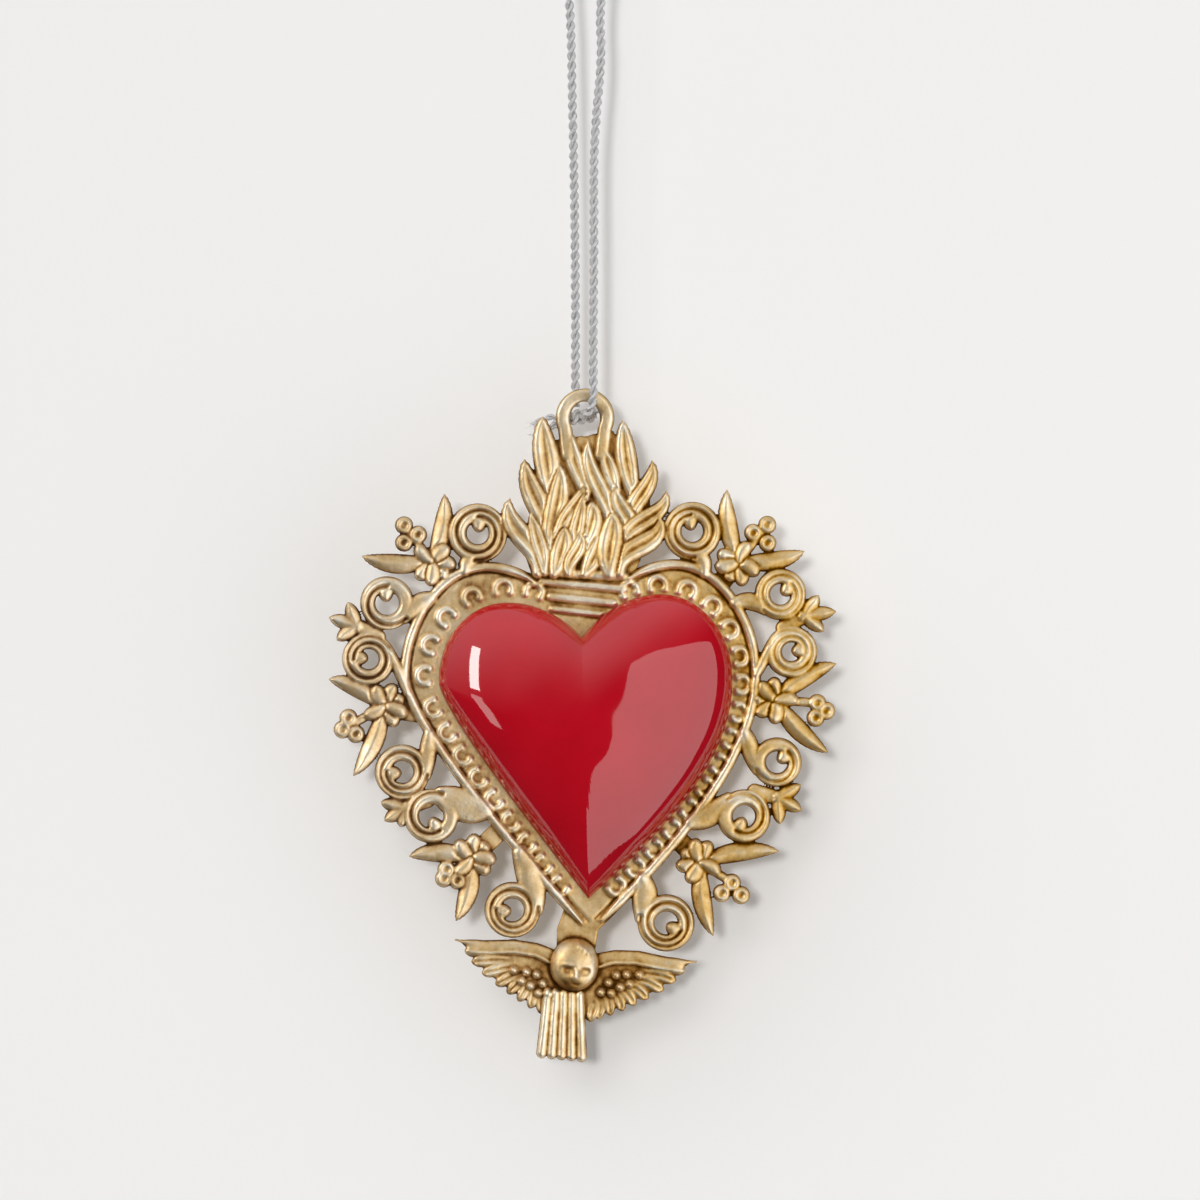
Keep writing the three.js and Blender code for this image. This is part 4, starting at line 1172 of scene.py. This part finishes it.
def frayed_end(path, rng):
    """Loose hairs that leave the end of a path."""
    heading = path[-1] - path[-FRAY_AIM]
    heading /= np.linalg.norm(heading)
    hairs = []
    for _ in range(FRAY_HAIRS):
        spread = rng.normal(0, FRAY_SPREAD, 3)
        root = path[-FRAY_START] + rng.normal(0, FRAY_ROOTS, 3)
        reach = rng.uniform(*FRAY_LENGTHS)
        bend = rng.normal(0, FRAY_BEND, 3)
        middle = root + reach * FRAY_MIDDLE * (heading + spread / 2)
        tip = root + reach * (heading + spread) + bend
        hairs.append(hair(spline([root, middle, tip], HAIR_STEP)))
    return hairs


def make_knot(material):
    start, end = np.array(KNOT_ROUTE, float)
    along = (end - start) / np.linalg.norm(end - start)
    side = np.cross(along, (0, 0, 1))
    side /= np.linalg.norm(side)
    up = np.cross(side, along)
    wrap_radius = KNOT_RADIUS - CORD_DIAMETER * WRAP_SINK
    share = np.linspace(0, 1, WRAP_POINTS * KNOT_WRAPS)
    angle = 2 * np.pi * KNOT_WRAPS * share
    helix = start + np.outer(share, end - start)
    helix += wrap_radius * (np.outer(np.cos(angle), side) + np.outer(np.sin(angle), up))
    overhang = CORE_OVERHANG * along
    core = spline([start - overhang, (start + end) / 2, end + overhang], CORE_STEP)
    pieces = [
        twisted_plies(spline(helix, KNOT_STEP), WRAP_DIAMETER * CORD_DIAMETER),
        twisted_plies(core, CORE_DIAMETER * CORD_DIAMETER),
    ]
    rng = np.random.default_rng(FRAY_SEED)
    for route in (UPPER_END_ROUTE, LOWER_END_ROUTE):
        path = spline([end - END_LAP * along] + route, KNOT_STEP)
        pieces.append(twisted_plies(path[:-PLIES_STOP], END_DIAMETER))
        pieces += frayed_end(path, rng)

    all_faces = []
    count = 0
    for points, faces, _ in pieces:
        all_faces += [tuple(i + count for i in face) for face in faces]
        count += len(points)
    obj = mesh_object("knot", np.vstack([piece[0] for piece in pieces]) * MM, all_faces, material)
    float_attribute(obj, "yarn", np.concatenate([piece[2] for piece in pieces]))
    return obj


# Materials

class Nodes:
    """A node tree, with short calls to add and link nodes."""

    def __init__(self, tree):
        self.tree = tree

    def add(self, kind, values=(), **settings):
        """A node, with values for its inputs by name or number and settings of its own."""
        node = self.tree.nodes.new(kind)
        for key, value in settings.items():
            setattr(node, key, value)
        for key, value in dict(values).items():
            node.inputs[key].default_value = value
        return node

    def link(self, source, target):
        self.tree.links.new(source, target)

    def position(self, kind="Object"):
        return self.add("ShaderNodeTexCoord").outputs[kind]

    def attribute(self, name):
        return self.add("ShaderNodeAttribute", attribute_name=name).outputs["Fac"]

    def noise(self, vector, scale, detail, roughness):
        node = self.add("ShaderNodeTexNoise", {"Scale": scale, "Detail": detail, "Roughness": roughness})
        self.link(vector, node.inputs["Vector"])
        return node.outputs["Fac"]

    def math(self, operation, a, b):
        node = self.add("ShaderNodeMath", operation=operation)
        for socket, value in zip(node.inputs, (a, b)):
            if isinstance(value, (int, float)):
                socket.default_value = value
            else:
                self.link(value, socket)
        return node.outputs[0]

    def ramp(self, source, stops):
        node = self.add("ShaderNodeValToRGB")
        elements = node.color_ramp.elements
        while len(elements) < len(stops):
            elements.new(0.5)
        for element, (position, colour) in zip(elements, stops):
            element.position = position
            element.color = (*colour, 1)
        self.link(source, node.inputs["Fac"])
        return node.outputs["Color"]

    def span(self, source, from_low, from_high, to_low, to_high, **settings):
        """A value drawn from one range into another, and held inside it."""
        values = {"From Min": from_low, "From Max": from_high, "To Min": to_low, "To Max": to_high}
        node = self.add("ShaderNodeMapRange", values, **settings)
        self.link(source, node.inputs["Value"])
        return node.outputs["Result"]


class Surface(Nodes):
    """The node tree of a new material round its main shader."""

    def __init__(self, name):
        self.material = bpy.data.materials.new(name)
        self.material.use_nodes = True
        super().__init__(self.material.node_tree)
        self.shader = self.tree.nodes["Principled BSDF"]

    def set(self, name, value):
        self.shader.inputs[name].default_value = value

    def feed(self, name, source):
        self.link(source, self.shader.inputs[name])

    def bump(self, height, strength, distance):
        node = self.add("ShaderNodeBump", {"Strength": strength, "Distance": distance})
        self.link(height, node.inputs["Height"])
        self.feed("Normal", node.outputs["Normal"])


# Colours from a recess to what is rubbed bare, and from the left edge to the right one
BRASS_COLOURS = [
    (0.0, (0.08, 0.034, 0.008)), (0.25, (0.33, 0.168, 0.054)), (0.5, (0.64, 0.44, 0.2)),
    (0.72, (0.75, 0.57, 0.335)), (1.0, (0.86, 0.77, 0.61)),
]
# painted light across the brass: paler on the left, which faces the lamps, darker and more golden on the
# right
BRASS_EDGES = (-0.035, 0.035)
BRASS_SATURATION = (0.9, 1.2)
BRASS_PAINTED_SHADE = (1.0, 0.92)
ENAMEL_COLOURS = [(0.3, (0.42, 0.0, 0.008)), (0.7, (0.48, 0.002, 0.012))]
# the white specks of the yarn are painted glints of the metallic cord
YARN_COLOURS = [(0.36, (0.03, 0.03, 0.035)), (0.44, (0.75, 0.75, 0.75)), (0.56, (1.0, 1.0, 1.0))]
YARN_FILAMENTS = 4
WALL_COLOUR = (0.88, 0.875, 0.865, 1)


def brass_material():
    n = Surface("worn_brass")
    place = n.position()
    patches = n.span(n.noise(place, 160, 6, 0.65), 0.3, 0.7, -0.32, 0.22)
    specks = n.span(n.noise(place, 1100, 4, 0.7), 0.3, 0.7, -0.1, 0.1)
    stain = n.math("ADD", patches, specks)
    # the patina's ramp: darker in recesses and in the painted shade under the chin, paler with wear and
    # painted sheen
    bareness_and_painted_light = n.math("ADD", n.span(n.attribute("cavity"), -0.22, 0.16, 0.0, 1.0), stain)
    # painted light: paler on the left and darker, more golden on the right, by place across the ornament
    across = n.add("ShaderNodeSeparateXYZ")
    n.link(place, across.inputs["Vector"])
    painted_side_light = n.add("ShaderNodeHueSaturation")
    n.link(n.ramp(bareness_and_painted_light, BRASS_COLOURS), painted_side_light.inputs["Color"])
    n.link(n.span(across.outputs["X"], *BRASS_EDGES, *BRASS_SATURATION), painted_side_light.inputs["Saturation"])
    n.link(n.span(across.outputs["X"], *BRASS_EDGES, *BRASS_PAINTED_SHADE), painted_side_light.inputs["Value"])
    n.feed("Base Color", painted_side_light.outputs["Color"])
    n.set("Metallic", 1.0)
    n.feed("Roughness", n.span(bareness_and_painted_light, 0.1, 0.9, 0.57, 0.41))
    n.bump(n.noise(place, 700, 6, 0.6), 0.5, 0.0002)
    return n.material


def enamel_material():
    n = Surface("red_enamel")
    place = n.position()
    n.feed("Base Color", n.ramp(n.noise(place, 90, 3, 0.5), ENAMEL_COLOURS))
    n.set("Roughness", 0.04)
    n.set("IOR", 1.65)
    n.bump(n.noise(place, 160, 2, 0.4), 0.12, 0.0002)
    return n.material


def cord_material():
    n = Surface("metallic_yarn")
    filaments = n.math("SINE", n.math("MULTIPLY", n.attribute("yarn"), 2 * math.pi * YARN_FILAMENTS), 0.0)
    # painted glints: noise specks that turn the yarn white where light would catch the metallic cord
    painted_glints = n.noise(n.position(), 5200, 2, 0.5)
    mixed = n.math("ADD", n.span(filaments, -1, 1, 0.0, 0.5), n.math("MULTIPLY", painted_glints, 0.5))
    n.feed("Base Color", n.ramp(mixed, YARN_COLOURS))
    n.set("Metallic", 0.1)
    n.set("Roughness", 0.3)
    n.bump(mixed, 0.6, 0.00008)
    return n.material


def wall_material():
    """Pale plaster, seen only from the front, so that the back of the ornament stays in view."""
    n = Surface("pale_wall")
    n.set("Base Color", WALL_COLOUR)
    n.set("Roughness", 0.9)
    n.set("Specular IOR Level", 0.1)
    clear = n.add("ShaderNodeBsdfTransparent")
    choice = n.add("ShaderNodeMixShader")
    n.link(n.add("ShaderNodeNewGeometry").outputs["Backfacing"], choice.inputs["Fac"])
    n.link(n.shader.outputs["BSDF"], choice.inputs[1])
    n.link(clear.outputs["BSDF"], choice.inputs[2])
    n.link(choice.outputs["Shader"], n.tree.nodes["Material Output"].inputs["Surface"])
    return n.material


# Stage, light and camera

WALL_DEPTH = 0.0185  # clear of the tail when the ornament tilts back
WALL_HALF_WIDTH = 0.6
WALL_LOW = -0.5
WALL_HIGH = 0.4
PHOTO_WIDTH = 0.18  # width of the photograph at the sheet
PHOTO_CENTRE = (0.00225, -0.099)
CAMERA_DISTANCE = 0.9
CAMERA_SENSOR = 36
HEART_MIDDLE = (0, 0, -0.12)
ROOM_LEVEL = 0.06
SKY_LEVEL = 1.0
SKY_DIRECTION = (-0.4, 0, 0.9)
SKY_EDGE = (0.1, 0.9)
WHITE = (1, 1, 1)
DAYLIGHT = (1.0, 0.98, 0.95)
LAMPLIGHT = (1.0, 0.98, 0.96)
# Lamps aimed at the heart: bearing to the right of the front and elevation in degrees, distance, width and
# height in metres, radiance, colour, and whether it is for reflections; the others light what is matt
LAMPS = {
    "window": (-50, 17, 2.8, 0.42, 1.35, 13.0, DAYLIGHT, True),
    "strip": (-50, -9, 2.8, 0.45, 0.9, 2.8, DAYLIGHT, True),
    "card": (40, -12, 1.0, 1.42, 1.85, 1.65, WHITE, True),
    "bounce": (40, -12, 0.98, 1.42, 1.85, 0.58, WHITE, False),
    "key": (-12, 14, 3.0, 1.2, 1.2, 5.0, LAMPLIGHT, False),
    "fill": (-5.5, 4, 3.0, 0.2, 0.2, 230.0, WHITE, False),
}


def make_stage():
    right, low, high = WALL_HALF_WIDTH, WALL_LOW, WALL_HIGH
    corners = [(-right, low), (right, low), (right, high), (-right, high)]
    points = [(x, WALL_DEPTH, z) for x, z in corners]
    wall = mesh_object("wall", points, [(0, 1, 2, 3)], wall_material())


def make_lamp(name, bearing, elevation, distance, width, height, radiance, colour, for_reflections):
    across, up = math.radians(bearing), math.radians(elevation)
    away = Vector((math.sin(across) * math.cos(up), -math.cos(across) * math.cos(up), math.sin(up)))
    data = bpy.data.lights.new(name, "AREA")
    data.shape = "RECTANGLE"
    data.size = width
    data.size_y = height
    data.energy = radiance * math.pi * width * height
    data.color = colour
    lamp = bpy.data.objects.new(name, data)
    lamp.location = Vector(HEART_MIDDLE) + distance * away
    lamp.rotation_euler = (-away).to_track_quat("-Z", "Y").to_euler()
    lamp.visible_diffuse = not for_reflections
    lamp.visible_glossy = for_reflections
    bpy.context.scene.collection.objects.link(lamp)


def make_light():
    for name, row in LAMPS.items():
        make_lamp(name, *row)

    world = bpy.data.worlds.new("room")
    bpy.context.scene.world = world
    world.use_nodes = True
    n = Nodes(world.node_tree)
    towards_sky = n.add("ShaderNodeVectorMath", {1: SKY_DIRECTION}, operation="DOT_PRODUCT")
    n.link(n.position("Generated"), towards_sky.inputs[0])
    level = n.span(towards_sky.outputs["Value"], *SKY_EDGE, ROOM_LEVEL, SKY_LEVEL,
                   interpolation_type="SMOOTHSTEP")
    n.link(level, n.tree.nodes["Background"].inputs["Color"])


def make_camera():
    data = bpy.data.cameras.new("camera")
    data.sensor_width = CAMERA_SENSOR
    data.lens = CAMERA_SENSOR * CAMERA_DISTANCE / PHOTO_WIDTH
    data.clip_start = 0.01
    camera = bpy.data.objects.new("camera", data)
    camera.location = (PHOTO_CENTRE[0], -CAMERA_DISTANCE, PHOTO_CENTRE[1])
    camera.rotation_euler = (math.pi / 2, 0, 0)
    bpy.context.scene.collection.objects.link(camera)
    bpy.context.scene.camera = camera


# The finished scene

def dress_part():
    stamping = make_stamping(brass_material())
    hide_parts("brass_stamping")
    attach(stamping, "ornament")

    enamel = make_enamel(enamel_material())
    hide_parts("enamel_heart")
    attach(enamel, "ornament")

    yarn = cord_material()
    knot = make_knot(yarn)
    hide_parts("cord_knot", "cord_upper_end", "cord_lower_end")
    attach(knot, "hitch")

    cord, path = make_cord(yarn)
    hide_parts("cord_loop", "cord_eye_turn", "cord_back_leg")
    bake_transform(cord)


bpy.context.scene.view_settings.view_transform = "Standard"
make_camera()
make_light()
make_stage()
dress_part()
